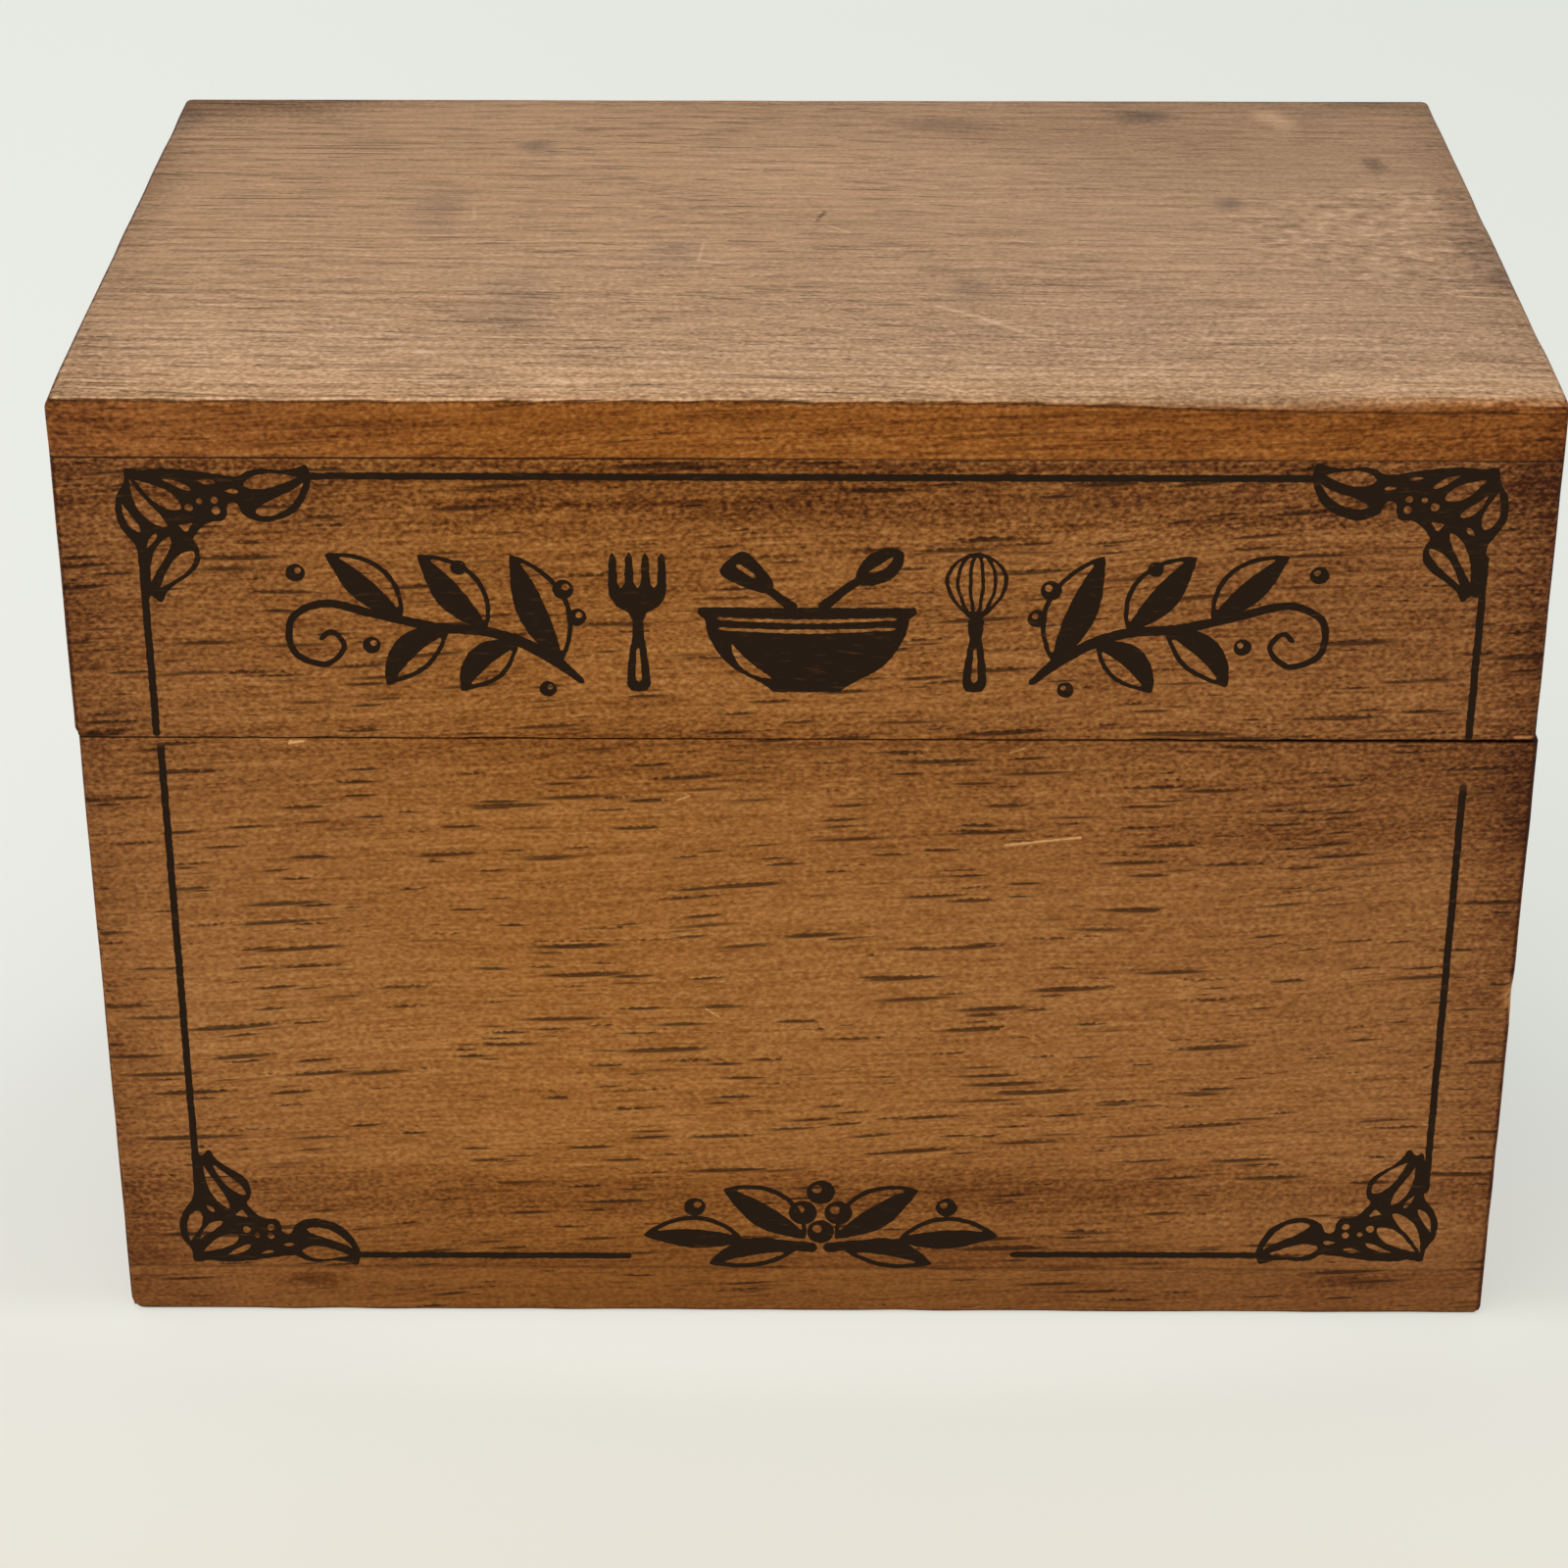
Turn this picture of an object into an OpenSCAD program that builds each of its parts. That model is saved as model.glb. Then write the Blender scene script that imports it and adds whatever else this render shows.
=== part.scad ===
// Wooden recipe card box. Ten thin boards are glued into a closed carcass, which is then
// sawn into a base and a lid and hung on two small butt hinges let into the back edge.
// Millimetres. The origin is the centre of the underside, the front faces -Y, +Z is up.

/* [Box] */
// Outside width, left to right
box_w = 146; // [140:1:180]
// Outside depth, front to back
box_d = 95; // [85:1:130]
// Outside height of the closed box
box_h = 105.8; // [98:0.1:130]
// Height of the saw cut that parts the lid from the base
seam_z = 69.4; // [50:0.1:80]
// Width of the saw cut
seam_gap = 0.15; // [0.1:0.05:0.4]
// Distance that the lid hangs to the left of the base
lid_shift = 0.3; // [0:0.1:0.6]

/* [Boards] */
// Thickness of the front, back and side boards
wall_t = 8; // [7.5:0.1:9]
// Thickness of the top board
top_t = 6.2; // [5:0.1:8]
// Thickness of the bottom board
bottom_t = 5.8; // [5:0.1:8]
// Wood of the front and back boards that laps over the ends of the side boards
lap_t = 3.2; // [2.5:0.1:5]
// Rounding of the outside edges
edge_r = 1; // [0.5:0.1:1.5]
// Easing of the rims on each side of the saw cut
rim_r = 0.2; // [0.1:0.05:0.4]
// Widest angle that the lid opens to
open_angle = 105; // [95:1:110]

/* [Hinges] */
// Distance of each hinge's middle from the middle of the box
hinge_x = 45; // [30:1:50]
// Length of a hinge along its pin
hinge_len = 20; // [18:1:26]
// Length of the lid leaf's single knuckle
middle_len = 7; // [5:0.5:9]
// Clearance between two knuckles
knuckle_gap = 0.2; // [0.1:0.05:0.3]
// Thickness of a leaf
leaf_t = 0.7; // [0.6:0.05:0.8]
// Reach of a leaf from the pin's axis
leaf_reach = 5.7; // [5.4:0.1:5.7]
// Outside radius of the barrel
barrel_r = 1.5; // [1.4:0.05:1.6]
// Radius of the hinge pin
pin_r = 0.7; // [0.6:0.05:0.75]
// Radial clearance of the pin in the knuckles
pin_play = 0.04; // [0.02:0.01:0.08]
// Distance of the pin's axis inside the back face
pin_inset = 1.6; // [1.6:0.05:1.8]

/* [Screws] */
// Distance of each screw from the middle of its hinge
screw_x = 6; // [5:0.5:7]
// Distance of the screws from the pin's axis
screw_y = 3.7; // [3.5:0.1:4]
// Radius of the countersunk head
screw_head_r = 1.25; // [1.1:0.05:1.3]
// Radius over the thread
screw_r = 0.75; // [0.6:0.05:0.8]
// Length of a screw
screw_len = 6.5; // [5:0.5:8]

/* [Hidden] */
$fn = 48;
// How far a cutting shape runs past the wood that it cuts
over = 1;
// Room round a leaf in its mortise
fit = 0.1;
base_x = lid_shift / 2;
lid_x = -lid_shift / 2;
base_h = seam_z - seam_gap / 2;
lid_z = seam_z + seam_gap / 2;
lid_h = box_h - lid_z;
pin_y = box_d / 2 - pin_inset;
// Slope of each half of the groove along the back. The halves meet just past the widest opening.
stop_margin = 1;
groove_angle = (open_angle + stop_margin) / 2;
// Hollow in the wood that the barrel lies in
cove_r = barrel_r + 1.5 * fit;
// Length of pin that stands out of the barrel at each end
pin_end = 0.3;
// The screw's head is a 45 degree cone, and a short plain shank parts it from the thread
head_depth = screw_head_r - screw_r;
shank_len = 0.4;
slot_w = 0.35;
slot_depth = 0.25;
// Angles at which the slots of a pair of screws came to rest
slot_angles = [10, 110];
thread_pitch = 0.7;
thread_depth = 0.2;
thread_turns = 6;
// Radial clearance round a screw
pilot_play = 0.02;

front_colour = [0.57, 0.36, 0.17];
top_colour = [0.66, 0.5, 0.36];
brass_colour = [0.76, 0.6, 0.33];
steel_colour = [0.7, 0.66, 0.55];

// A rectangle standing on the x axis, with its lower and upper corners rounded
module outline(w, h, r_low, r_high) {
    translate([-w / 2 + r_low, 0]) square([w - 2 * r_low, h / 2]);
    translate([-w / 2 + r_high, h / 2]) square([w - 2 * r_high, h / 2]);
    translate([-w / 2, r_low]) square([w, h - r_low - r_high]);
    for (side = [-1, 1]) {
        translate([side * (w / 2 - r_low), r_low]) circle(r_low);
        translate([side * (w / 2 - r_high), h - r_high]) circle(r_high);
    }
}

// A block on the xy plane with every edge rounded, which the boards are cut from
module block(h, r_low, r_high) {
    intersection() {
        translate([0, -box_d / 2, -over])
            linear_extrude(h + 2 * over) outline(box_w, box_d, edge_r, edge_r);
        rotate([90, 0, 0]) translate([0, 0, -box_d / 2 - over])
            linear_extrude(box_d + 2 * over) outline(box_w, h, r_low, r_high);
        rotate([90, 0, 90]) translate([0, 0, -box_w / 2 - over])
            linear_extrude(box_w + 2 * over) outline(box_d, h, r_low, r_high);
    }
}

module base_block() {
    translate([base_x, 0, 0]) block(base_h, edge_r, rim_r);
}

module lid_block() {
    translate([lid_x, 0, lid_z]) block(lid_h, rim_r, edge_r);
}

// The front board's plan: a strip as wide as the box, rabbeted at its ends for the side boards
module front_plan() {
    side = box_w / 2 - wall_t;
    face = -box_d / 2 - over;
    lap = -box_d / 2 + lap_t;
    inner = -box_d / 2 + wall_t;
    polygon([
        [-box_w / 2 - over, face], [box_w / 2 + over, face], [box_w / 2 + over, lap],
        [side, lap], [side, inner], [-side, inner], [-side, lap], [-box_w / 2 - over, lap]
    ]);
}

// The right board's plan, which runs between the laps of the front and back boards
module side_plan() {
    translate([box_w / 2 - wall_t, -box_d / 2 + lap_t])
        square([wall_t + over, box_d - 2 * lap_t]);
}

module base_walls() {
    intersection() {
        base_block();
        translate([base_x, 0, bottom_t]) linear_extrude(box_h) children();
    }
}

module lid_walls() {
    intersection() {
        lid_block();
        translate([lid_x, 0, 0]) linear_extrude(box_h - top_t) children();
    }
}

// Cylinder along x, centred on the origin
module rod(r, len) {
    rotate([0, 90, 0]) cylinder(r = r, h = len, center = true);
}

module at_hinge(side) {
    translate([side * hinge_x, pin_y, seam_z]) children();
}

// One half of the groove sawn along the back, below the pin's axis
module groove_half() {
    reach = pin_inset + over;
    drop = reach * tan(groove_angle);
    translate([-box_w, 0, 0]) rotate([90, 0, 90]) linear_extrude(2 * box_w)
        polygon([[0, 0], [reach, -drop], [reach, seam_gap], [0, seam_gap]]);
}

// Wood taken out of the base's back board for one leaf, its half of the barrel and its screws
module leaf_recess() {
    depth = seam_gap / 2 + leaf_t;
    translate([-hinge_len / 2 - fit, -wall_t, -depth])
        cube([hinge_len + 2 * fit, wall_t, depth + seam_gap]);
    rod(cove_r, hinge_len + 2 * pin_end + 4 * fit);
    for (side = [-1, 1])
        translate([side * screw_x, -screw_y, -seam_gap / 2 - screw_len - fit])
            cylinder(r = screw_r + pilot_play, h = screw_len);
}

module back_cuts() {
    translate([0, pin_y, seam_z]) groove_half();
    for (side = [-1, 1]) at_hinge(side) leaf_recess();
}

// The cuts of the base's back board turned over the saw cut, for the lid's back board
module over_seam() {
    translate([0, 0, 2 * seam_z]) mirror([0, 0, 1]) children();
}

module base_front_board() {
    color(front_colour) base_walls() front_plan();
}

module base_back_board() {
    color(front_colour) difference() {
        base_walls() mirror([0, 1]) front_plan();
        back_cuts();
    }
}

module base_right_board() {
    color(front_colour) base_walls() side_plan();
}

module base_left_board() {
    color(front_colour) base_walls() mirror([1, 0]) side_plan();
}

module bottom_board() {
    color(front_colour) intersection() {
        base_block();
        translate([-box_w, -box_d, -over]) cube([2 * box_w, 2 * box_d, bottom_t + over]);
    }
}

module lid_front_board() {
    color(front_colour) lid_walls() front_plan();
}

module lid_back_board() {
    color(front_colour) difference() {
        lid_walls() mirror([0, 1]) front_plan();
        over_seam() back_cuts();
    }
}

module lid_right_board() {
    color(front_colour) lid_walls() side_plan();
}

module lid_left_board() {
    color(front_colour) lid_walls() mirror([1, 0]) side_plan();
}

module top_board() {
    color(top_colour) intersection() {
        lid_block();
        translate([-box_w, -box_d, box_h - top_t]) cube([2 * box_w, 2 * box_d, top_t + over]);
    }
}

// Clearance in a leaf round the other leaf's knuckle
module knuckle_notch(from, to) {
    translate([from, -barrel_r - 2 * fit, -2 * barrel_r])
        cube([to - from, 4 * barrel_r, 4 * barrel_r]);
}

// Countersunk hole through a leaf that lies under the pin's plane
module leaf_hole() {
    top = -seam_gap / 2;
    translate([0, 0, top - leaf_t - over]) cylinder(r = screw_r + pilot_play, h = leaf_t + 2 * over);
    translate([0, 0, top - head_depth]) cylinder(
        r1 = screw_r + pilot_play, r2 = screw_head_r + pilot_play + fit, h = head_depth + fit
    );
}

// A leaf with its plate under the pin's plane. The pin's axis is the x axis.
module leaf(is_lid) {
    outer_from = middle_len / 2 + knuckle_gap;
    knuckles = is_lid
        ? [[-middle_len / 2, middle_len / 2]]
        : [[-hinge_len / 2, -outer_from], [outer_from, hinge_len / 2]];
    notches = is_lid
        ? [[-hinge_len / 2 - over, -middle_len / 2], [middle_len / 2, hinge_len / 2 + over]]
        : [[-outer_from, outer_from]];
    difference() {
        union() {
            difference() {
                translate([-hinge_len / 2, -leaf_reach, -seam_gap / 2 - leaf_t])
                    cube([hinge_len, leaf_reach, leaf_t]);
                for (n = notches) knuckle_notch(n[0], n[1]);
            }
            for (k = knuckles) translate([(k[0] + k[1]) / 2, 0, 0]) rod(barrel_r, k[1] - k[0]);
        }
        rod(pin_r + pin_play, 2 * hinge_len);
        for (side = [-1, 1]) translate([side * screw_x, -screw_y, 0]) leaf_hole();
    }
}

// The pin, with its two ends standing out of the barrel and broken at 45 degrees
module pin() {
    half = hinge_len / 2 + pin_end;
    rotate([0, 90, 0]) rotate_extrude() polygon([
        [0, -half], [pin_r - pin_end, -half], [pin_r, -half + pin_end],
        [pin_r, half - pin_end], [pin_r - pin_end, half], [0, half]
    ]);
}

// Slotted countersunk wood screw, standing on its point, with its head's face at z = 0
module screw() {
    root = screw_r - thread_depth;
    point_z = thread_pitch - screw_len;
    difference() {
        rotate_extrude() polygon(concat(
            [[0, 0], [screw_head_r, 0], [screw_r, -head_depth]],
            [for (turn = [0 : thread_turns - 1], half = [0, 1])
                [half == 0 ? root : screw_r,
                 -head_depth - shank_len - (turn + half / 2) * thread_pitch]],
            [[root, point_z], [0, -screw_len]]
        ));
        translate([-2 * screw_head_r, -slot_w / 2, -slot_depth])
            cube([4 * screw_head_r, slot_w, slot_depth + over]);
    }
}

module base_screws() {
    for (i = [0, 1])
        translate([(2 * i - 1) * screw_x, -screw_y, -seam_gap / 2 - pilot_play])
            rotate([0, 0, slot_angles[i]]) screw();
}

module base_leaf_at(side) {
    color(brass_colour) at_hinge(side) leaf(false);
}

module lid_leaf_at(side) {
    color(brass_colour) over_seam() at_hinge(side) leaf(true);
}

module base_screws_at(side) {
    color(steel_colour) at_hinge(side) base_screws();
}

module lid_screws_at(side) {
    color(steel_colour) over_seam() at_hinge(side) base_screws();
}

module pin_at(side) {
    color(steel_colour) at_hinge(side) pin();
}

module left_hinge_base_leaf() { base_leaf_at(-1); }
module left_hinge_lid_leaf() { lid_leaf_at(-1); }
module left_hinge_pin() { pin_at(-1); }
module left_hinge_base_screws() { base_screws_at(-1); }
module left_hinge_lid_screws() { lid_screws_at(-1); }
module right_hinge_base_leaf() { base_leaf_at(1); }
module right_hinge_lid_leaf() { lid_leaf_at(1); }
module right_hinge_pin() { pin_at(1); }
module right_hinge_base_screws() { base_screws_at(1); }
module right_hinge_lid_screws() { lid_screws_at(1); }

base_front_board();
base_back_board();
base_left_board();
base_right_board();
bottom_board();
lid_front_board();
lid_back_board();
lid_left_board();
lid_right_board();
top_board();
left_hinge_base_leaf();
left_hinge_lid_leaf();
left_hinge_pin();
left_hinge_base_screws();
left_hinge_lid_screws();
right_hinge_base_leaf();
right_hinge_lid_leaf();
right_hinge_pin();
right_hinge_base_screws();
right_hinge_lid_screws();
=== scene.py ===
# %% [markdown]
# # A stained wooden recipe card box
#
# The box is ten thin boards, two small hinges and a printed border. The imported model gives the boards
# at their real size, so this lesson is about what turns clean solids into an object that has been
# handled for years: arrises that are no longer straight, a top that has faded, open pores that have
# taken up stain, and ink that lies on the wood as a thin film.
#
# Lengths are written in millimetres and become metres where a mesh is made.

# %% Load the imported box
import functools
import math
import bpy
import numpy as np
from mathutils import Matrix, Vector, geometry


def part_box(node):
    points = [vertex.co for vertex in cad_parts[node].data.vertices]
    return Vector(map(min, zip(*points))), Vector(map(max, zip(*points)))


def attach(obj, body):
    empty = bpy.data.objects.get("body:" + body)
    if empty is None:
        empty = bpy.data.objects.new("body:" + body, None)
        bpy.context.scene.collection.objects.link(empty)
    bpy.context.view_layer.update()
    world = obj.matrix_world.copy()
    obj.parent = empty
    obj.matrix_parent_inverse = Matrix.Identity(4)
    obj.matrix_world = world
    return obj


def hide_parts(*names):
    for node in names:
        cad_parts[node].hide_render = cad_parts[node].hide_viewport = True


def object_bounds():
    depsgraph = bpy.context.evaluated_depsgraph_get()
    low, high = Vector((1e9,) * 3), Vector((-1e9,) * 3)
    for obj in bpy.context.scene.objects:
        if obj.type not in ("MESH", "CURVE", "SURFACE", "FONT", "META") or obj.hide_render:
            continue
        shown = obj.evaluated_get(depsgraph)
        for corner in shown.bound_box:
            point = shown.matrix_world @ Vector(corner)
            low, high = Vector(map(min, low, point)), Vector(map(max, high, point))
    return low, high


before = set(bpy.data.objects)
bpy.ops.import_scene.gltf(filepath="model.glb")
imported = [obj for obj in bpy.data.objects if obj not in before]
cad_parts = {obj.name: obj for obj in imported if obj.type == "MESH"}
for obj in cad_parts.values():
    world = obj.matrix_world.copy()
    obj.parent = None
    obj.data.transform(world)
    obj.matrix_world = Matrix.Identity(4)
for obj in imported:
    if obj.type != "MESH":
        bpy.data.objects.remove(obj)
cad_low, cad_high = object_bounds()
MM = 0.001


def box_mm(name):
    """Lowest and highest corner of a packed board, in millimetres."""
    low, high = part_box(name)
    return np.round(np.array(low) / MM, 4), np.round(np.array(high) / MM, 4)


BOX_LOW, BOX_HIGH = np.array(cad_low) / MM, np.array(cad_high) / MM
FRONT_Y, BACK_Y = BOX_LOW[1], BOX_HIGH[1]
TOP_Z = BOX_HIGH[2]
TOP_JOINT_Z = box_mm("top_board")[0][2]
BOTTOM_JOINT_Z = box_mm("bottom_board")[1][2]
LID_RIM_Z = box_mm("lid_front_board")[0][2]
BASE_RIM_Z = box_mm("base_front_board")[1][2]
LAP_Y = box_mm("lid_left_board")[0][1]
HALF_W = (box_mm("top_board")[1][0] - box_mm("top_board")[0][0]) / 2
WALL_T = box_mm("lid_left_board")[1][0] - box_mm("lid_left_board")[0][0]
SHIFT = {part: box_mm(f"{part}_front_board")[0][0] + HALF_W for part in ("lid", "base")}
print(f"the box is {2 * HALF_W:.1f} mm wide, and its saw cut is at {BASE_RIM_Z:.2f} to {LID_RIM_Z:.2f} mm")

# %% [markdown]
# ## Colours and nodes
#
# Colours are given as sRGB hex values, because that is how a colour chart or a picture gives
# them. Shaders work in linear light, so one function converts. A second small function adds a node
# with its settings and links, which keeps each material readable from top to bottom.

# %% Two helpers for materials
def hex_colour(text):
    """Linear RGBA of an sRGB hex colour: c / 12.92 below 0.04045, else ((c + 0.055) / 1.055) ** 2.4."""
    srgb = np.array([int(text[i:i + 2], 16) for i in (1, 3, 5)]) / 255
    linear = np.where(srgb <= 0.04045, srgb / 12.92, ((srgb + 0.055) / 1.055) ** 2.4)
    return (*linear, 1.0)


def node(tree, kind, values=(), stops=(), **settings):
    """Adds a node and returns its first live output. values fills its sockets, in order or by name, with
    a number or with the output that is linked in. stops are the positions and colours of a ramp."""
    made = tree.nodes.new("ShaderNode" + kind)
    for key, value in settings.items():
        setattr(made, key, value)
    sockets = {socket.identifier: socket for socket in made.inputs}
    for key, value in (values if isinstance(values, dict) else dict(enumerate(values))).items():
        socket = sockets[key] if key in sockets else made.inputs[key]
        if isinstance(value, bpy.types.NodeSocket):
            tree.links.new(value, socket)
        else:
            socket.default_value = value
    for number, (position, colour) in enumerate(stops):
        elements = made.color_ramp.elements
        element = elements[number] if number < len(elements) else elements.new(position)
        element.position, element.color = position, hex_colour(colour)
    return next((output for output in made.outputs if output.enabled), made)


def new_material(name):
    """An empty material and its node tree."""
    material = bpy.data.materials.new(name)
    material.use_nodes = True
    material.node_tree.nodes.clear()
    return material, material.node_tree


# %% [markdown]
# ## The camera
#
# A long lens stands about 46 cm away and looks down at 27 degrees. The corners and outlines of the
# box fix it, so the eye point is given in the box's own millimetres and the turn as three angles.

# %% Camera
LENS_MM, SENSOR_MM = 87.73, 36.0
EYE_MM = Vector((-0.41, -387.75, 241.46))
PITCH, YAW, ROLL = (math.radians(a) for a in (27.487, -0.307, 0.040))


def camera_matrix(eye, pitch, yaw, roll):
    """World matrix of a camera at eye: its forward is (sin yaw cos pitch, cos yaw cos pitch, -sin pitch),
    and right and up are turned about it by roll."""
    forward = Vector((math.sin(yaw) * math.cos(pitch), math.cos(yaw) * math.cos(pitch), -math.sin(pitch)))
    right = Vector((math.cos(yaw), -math.sin(yaw), 0.0))
    up = right.cross(forward)
    rolled_right = right * math.cos(roll) + up * math.sin(roll)
    rolled_up = up * math.cos(roll) - right * math.sin(roll)
    turn = Matrix((rolled_right, rolled_up, -forward)).transposed()
    return Matrix.Translation(eye * MM) @ turn.to_4x4()


camera = bpy.data.objects.new("camera", bpy.data.cameras.new("camera"))
bpy.context.scene.collection.objects.link(camera)
camera.data.lens = LENS_MM
camera.data.sensor_width = SENSOR_MM
camera.data.clip_start = 0.01
camera.matrix_world = camera_matrix(EYE_MM, PITCH, YAW, ROLL)
bpy.context.scene.camera = camera
bpy.context.scene.view_settings.view_transform = "Standard"
print(f"the camera is {EYE_MM.length:.0f} mm from the middle of the underside")

# %% [markdown]
# ## Light and ground
#
# The box stands on a pale sheet under soft studio light. A broad lamp high on the left front lights
# the top more than the front, which stays a little darker; the top's sheen is mostly painted into its
# colour. The world fills the rest, and shows itself as the same pale grey to the camera and to reflections.

# %% World, lamp and floor
WORLD_FILL = 0.62
PALE = "#EBECE6"
LAMP_AT_MM, LAMP_SIZE_MM, LAMP_WATTS = Vector((-250, -300, 820)), 900, 4.7
FLOOR_SIZE_MM = 6000
FLOOR_GLOW = 0.7


def seen_directly(tree):
    """1 for a ray from the camera or a reflection or through glass, and 0 for one that carries light."""
    rays = node(tree, "LightPath").node
    either = node(tree, "Math", {0: rays.outputs["Is Camera Ray"], 1: rays.outputs["Is Glossy Ray"]},
                  operation="MAXIMUM")
    return node(tree, "Math", {0: either, 1: rays.outputs["Is Transmission Ray"]}, operation="MAXIMUM")


def light_world():
    """Soft white fill for diffuse light, and a pale background for the rays that see it."""
    world = bpy.data.worlds.new("studio")
    bpy.context.scene.world = world
    world.use_nodes = True
    tree = world.node_tree
    tree.nodes.clear()
    fill = node(tree, "Background", {"Color": hex_colour("#FFFFFF"), "Strength": WORLD_FILL})
    seen = node(tree, "Background", {"Color": hex_colour(PALE), "Strength": 1.0})
    mixed = node(tree, "MixShader", {0: seen_directly(tree), 1: fill, 2: seen})
    node(tree, "OutputWorld", {"Surface": mixed})


def light_lamp():
    """One square softbox, turned towards the box."""
    data = bpy.data.lights.new("softbox", "AREA")
    data.size = LAMP_SIZE_MM * MM
    data.energy = LAMP_WATTS
    lamp = bpy.data.objects.new("softbox", data)
    bpy.context.scene.collection.objects.link(lamp)
    lamp.location = LAMP_AT_MM * MM
    towards_box = Vector((0, 0, TOP_Z / 2)) - LAMP_AT_MM
    lamp.rotation_mode = "QUATERNION"
    lamp.rotation_quaternion = towards_box.to_track_quat("-Z", "Y")


def lay_floor():
    """A matt sheet of card, far wider than the view. Part of what the camera sees of it is its own
    glow, as of a lit table, so the shadow on it stays soft and light. The glow is warmer towards the
    viewer and, as painted shade, cooler and darker towards the right. It is painted brighter where the
    front of the box would throw light on it, and painted darker close to its two sides as their shadow."""
    half = FLOOR_SIZE_MM * MM / 2
    under = -0.02 * MM
    mesh = bpy.data.meshes.new("floor")
    mesh.from_pydata([(-half, -half, under), (half, -half, under), (half, half, under), (-half, half, under)],
                     [], [(0, 1, 2, 3)])
    floor = bpy.data.objects.new("floor", mesh)
    bpy.context.scene.collection.objects.link(floor)
    material, tree = new_material("pale_card")
    card = node(tree, "BsdfPrincipled", {
        "Base Color": hex_colour("#EAE8DF"), "Roughness": 0.9, "Specular IOR Level": 0.1})
    at_m = node(tree, "TexCoord").node.outputs["Object"]
    place_x, place_y, _ = list(node(tree, "SeparateXYZ", (at_m,)).node.outputs)
    # Painted shade: the glow turns cooler and a little darker towards the right
    to_right = node(tree, "MapRange", (place_x, -150 * MM, 150 * MM))
    painted_shade_to_right = node(tree, "Mix", {"Factor_Float": to_right, "A_Color": hex_colour("#EDF0EB"),
                                "B_Color": hex_colour("#E5EBE5")}, data_type="RGBA")
    to_back = node(tree, "MapRange", (place_y, -100 * MM, 0.0))
    tint = node(tree, "Mix", {"Factor_Float": to_back, "A_Color": hex_colour("#E8E4D7"), "B_Color": painted_shade_to_right},
                data_type="RGBA")
    # Painted light and shadow: the glow is raised in front of the box, where its front would throw light, and lowered
    # beside its two sides as painted shadow
    painted_light_levels = []
    for middle_y, half_x, half_y, steps in ((FRONT_Y, 85, 17, (0.4, 1.2, 1.12, 1.0)), (-25, 95, 55, (0.9, 1.4, 0.92, 1.0))):
        scale = 1 / (half_x * MM), 1 / (half_y * MM), 1.0
        reach = node(tree, "VectorMath", (at_m, scale, (0.0, -middle_y / half_y, 0.0)), operation="MULTIPLY_ADD")
        reach = node(tree, "VectorMath", (reach,), operation="LENGTH")
        painted_light_levels.append(node(tree, "MapRange", (reach, *steps), interpolation_type="SMOOTHSTEP"))
    past_front = node(tree, "MapRange", (place_y, (FRONT_Y - 3) * MM, (FRONT_Y + 5) * MM), interpolation_type="SMOOTHSTEP")
    painted_light_level = node(tree, "Mix", {"Factor_Float": past_front, "A_Float": painted_light_levels[0], "B_Float": painted_light_levels[1]})
    glow = node(tree, "Emission", {"Color": tint, "Strength": painted_light_level})
    share = node(tree, "Math", {0: seen_directly(tree), 1: FLOOR_GLOW}, operation="MULTIPLY")
    node(tree, "OutputMaterial", {"Surface": node(tree, "MixShader", {0: share, 1: card, 2: glow})})
    mesh.materials.append(material)


light_world()
light_lamp()
lay_floor()

# %% [markdown]
# ## Stained wood
#
# The boards are a plain hardwood with open pores, stained brown and sprayed darker towards the
# edges. Cut along the grain, a pore is a thin groove a few millimetres long that holds dark stain.
# Cut across, it is a dot. A pattern that is stretched along the grain in three dimensions gives both
# from one set of nodes, because each face cuts it in its own direction.
#
# The colour starts as a tone from 0, dark, to 1, light. Broad cloudy figure, finer fibres and a fine
# speckle raise and lower it, and closeness to the box's outside edges lowers it. A ramp then turns
# the tone into stain colours, so that dark places turn redder and light ones turn golden, as a real
# stain does.

# %% Sizes and colours of the wood
# Each pattern: its size along the grain and across it in mm, then the detail and roughness of its noise
PATTERNS = {
    "figure": (75.0, 6.5, 1.5, 0.5),
    "cloud": (58.0, 32.0, 2.0, 0.5),
    "fibre": (9.0, 0.39, 2.0, 0.55),
    "fleck": (0.55, 0.36, 1.0, 0.5),
    "ring": (110.0, 13.0, 1.0, 0.4),
    "vein": (22.0, 1.5, 1.0, 0.5),
    "dent": (1.9, 0.9, 2.0, 0.6),
}
# How far each pattern moves the tone, and how much of a pore's colour shows
STAINED = {"figure": 0.15, "cloud": 0.12, "fibre": 0.46, "fleck": 0.72, "ring": -0.04, "vein": -0.06, "pore": 0.76}
FADED = {"figure": 0.12, "cloud": 0.1, "fibre": 0.6, "fleck": 0.85, "ring": -0.16, "vein": -0.1, "pore": 0.5}
RING_MM, RING_WANDER = 2.4, 2.2
VEIN_WIDTH = 0.05
DRIFT_MM = 3.0
GRAIN_TILT = 3.0
LATTICE_TURN = (0.5, 0.7, 0.4)
WIDER_IN_Y = 1.45
# Layers of pores: length and width of a cell in mm, its lowest lot that holds a pore, and its reach
STAINED_PORES = ((13.0, 0.8, 0.36, 0.48), (6.5, 0.55, 0.5, 0.46))
FADED_PORES = ((24.0, 0.55, 0.35, 0.46), (7.0, 0.4, 0.5, 0.44))
PORE_FRAY_MM = 0.25
EDGE_SHADE_MM = 15.0
ARRIS_MM = 0.6
JOINT_LINE_MM = 0.16
SEAM_LINE_MM = (0.1, 0.28)

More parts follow.
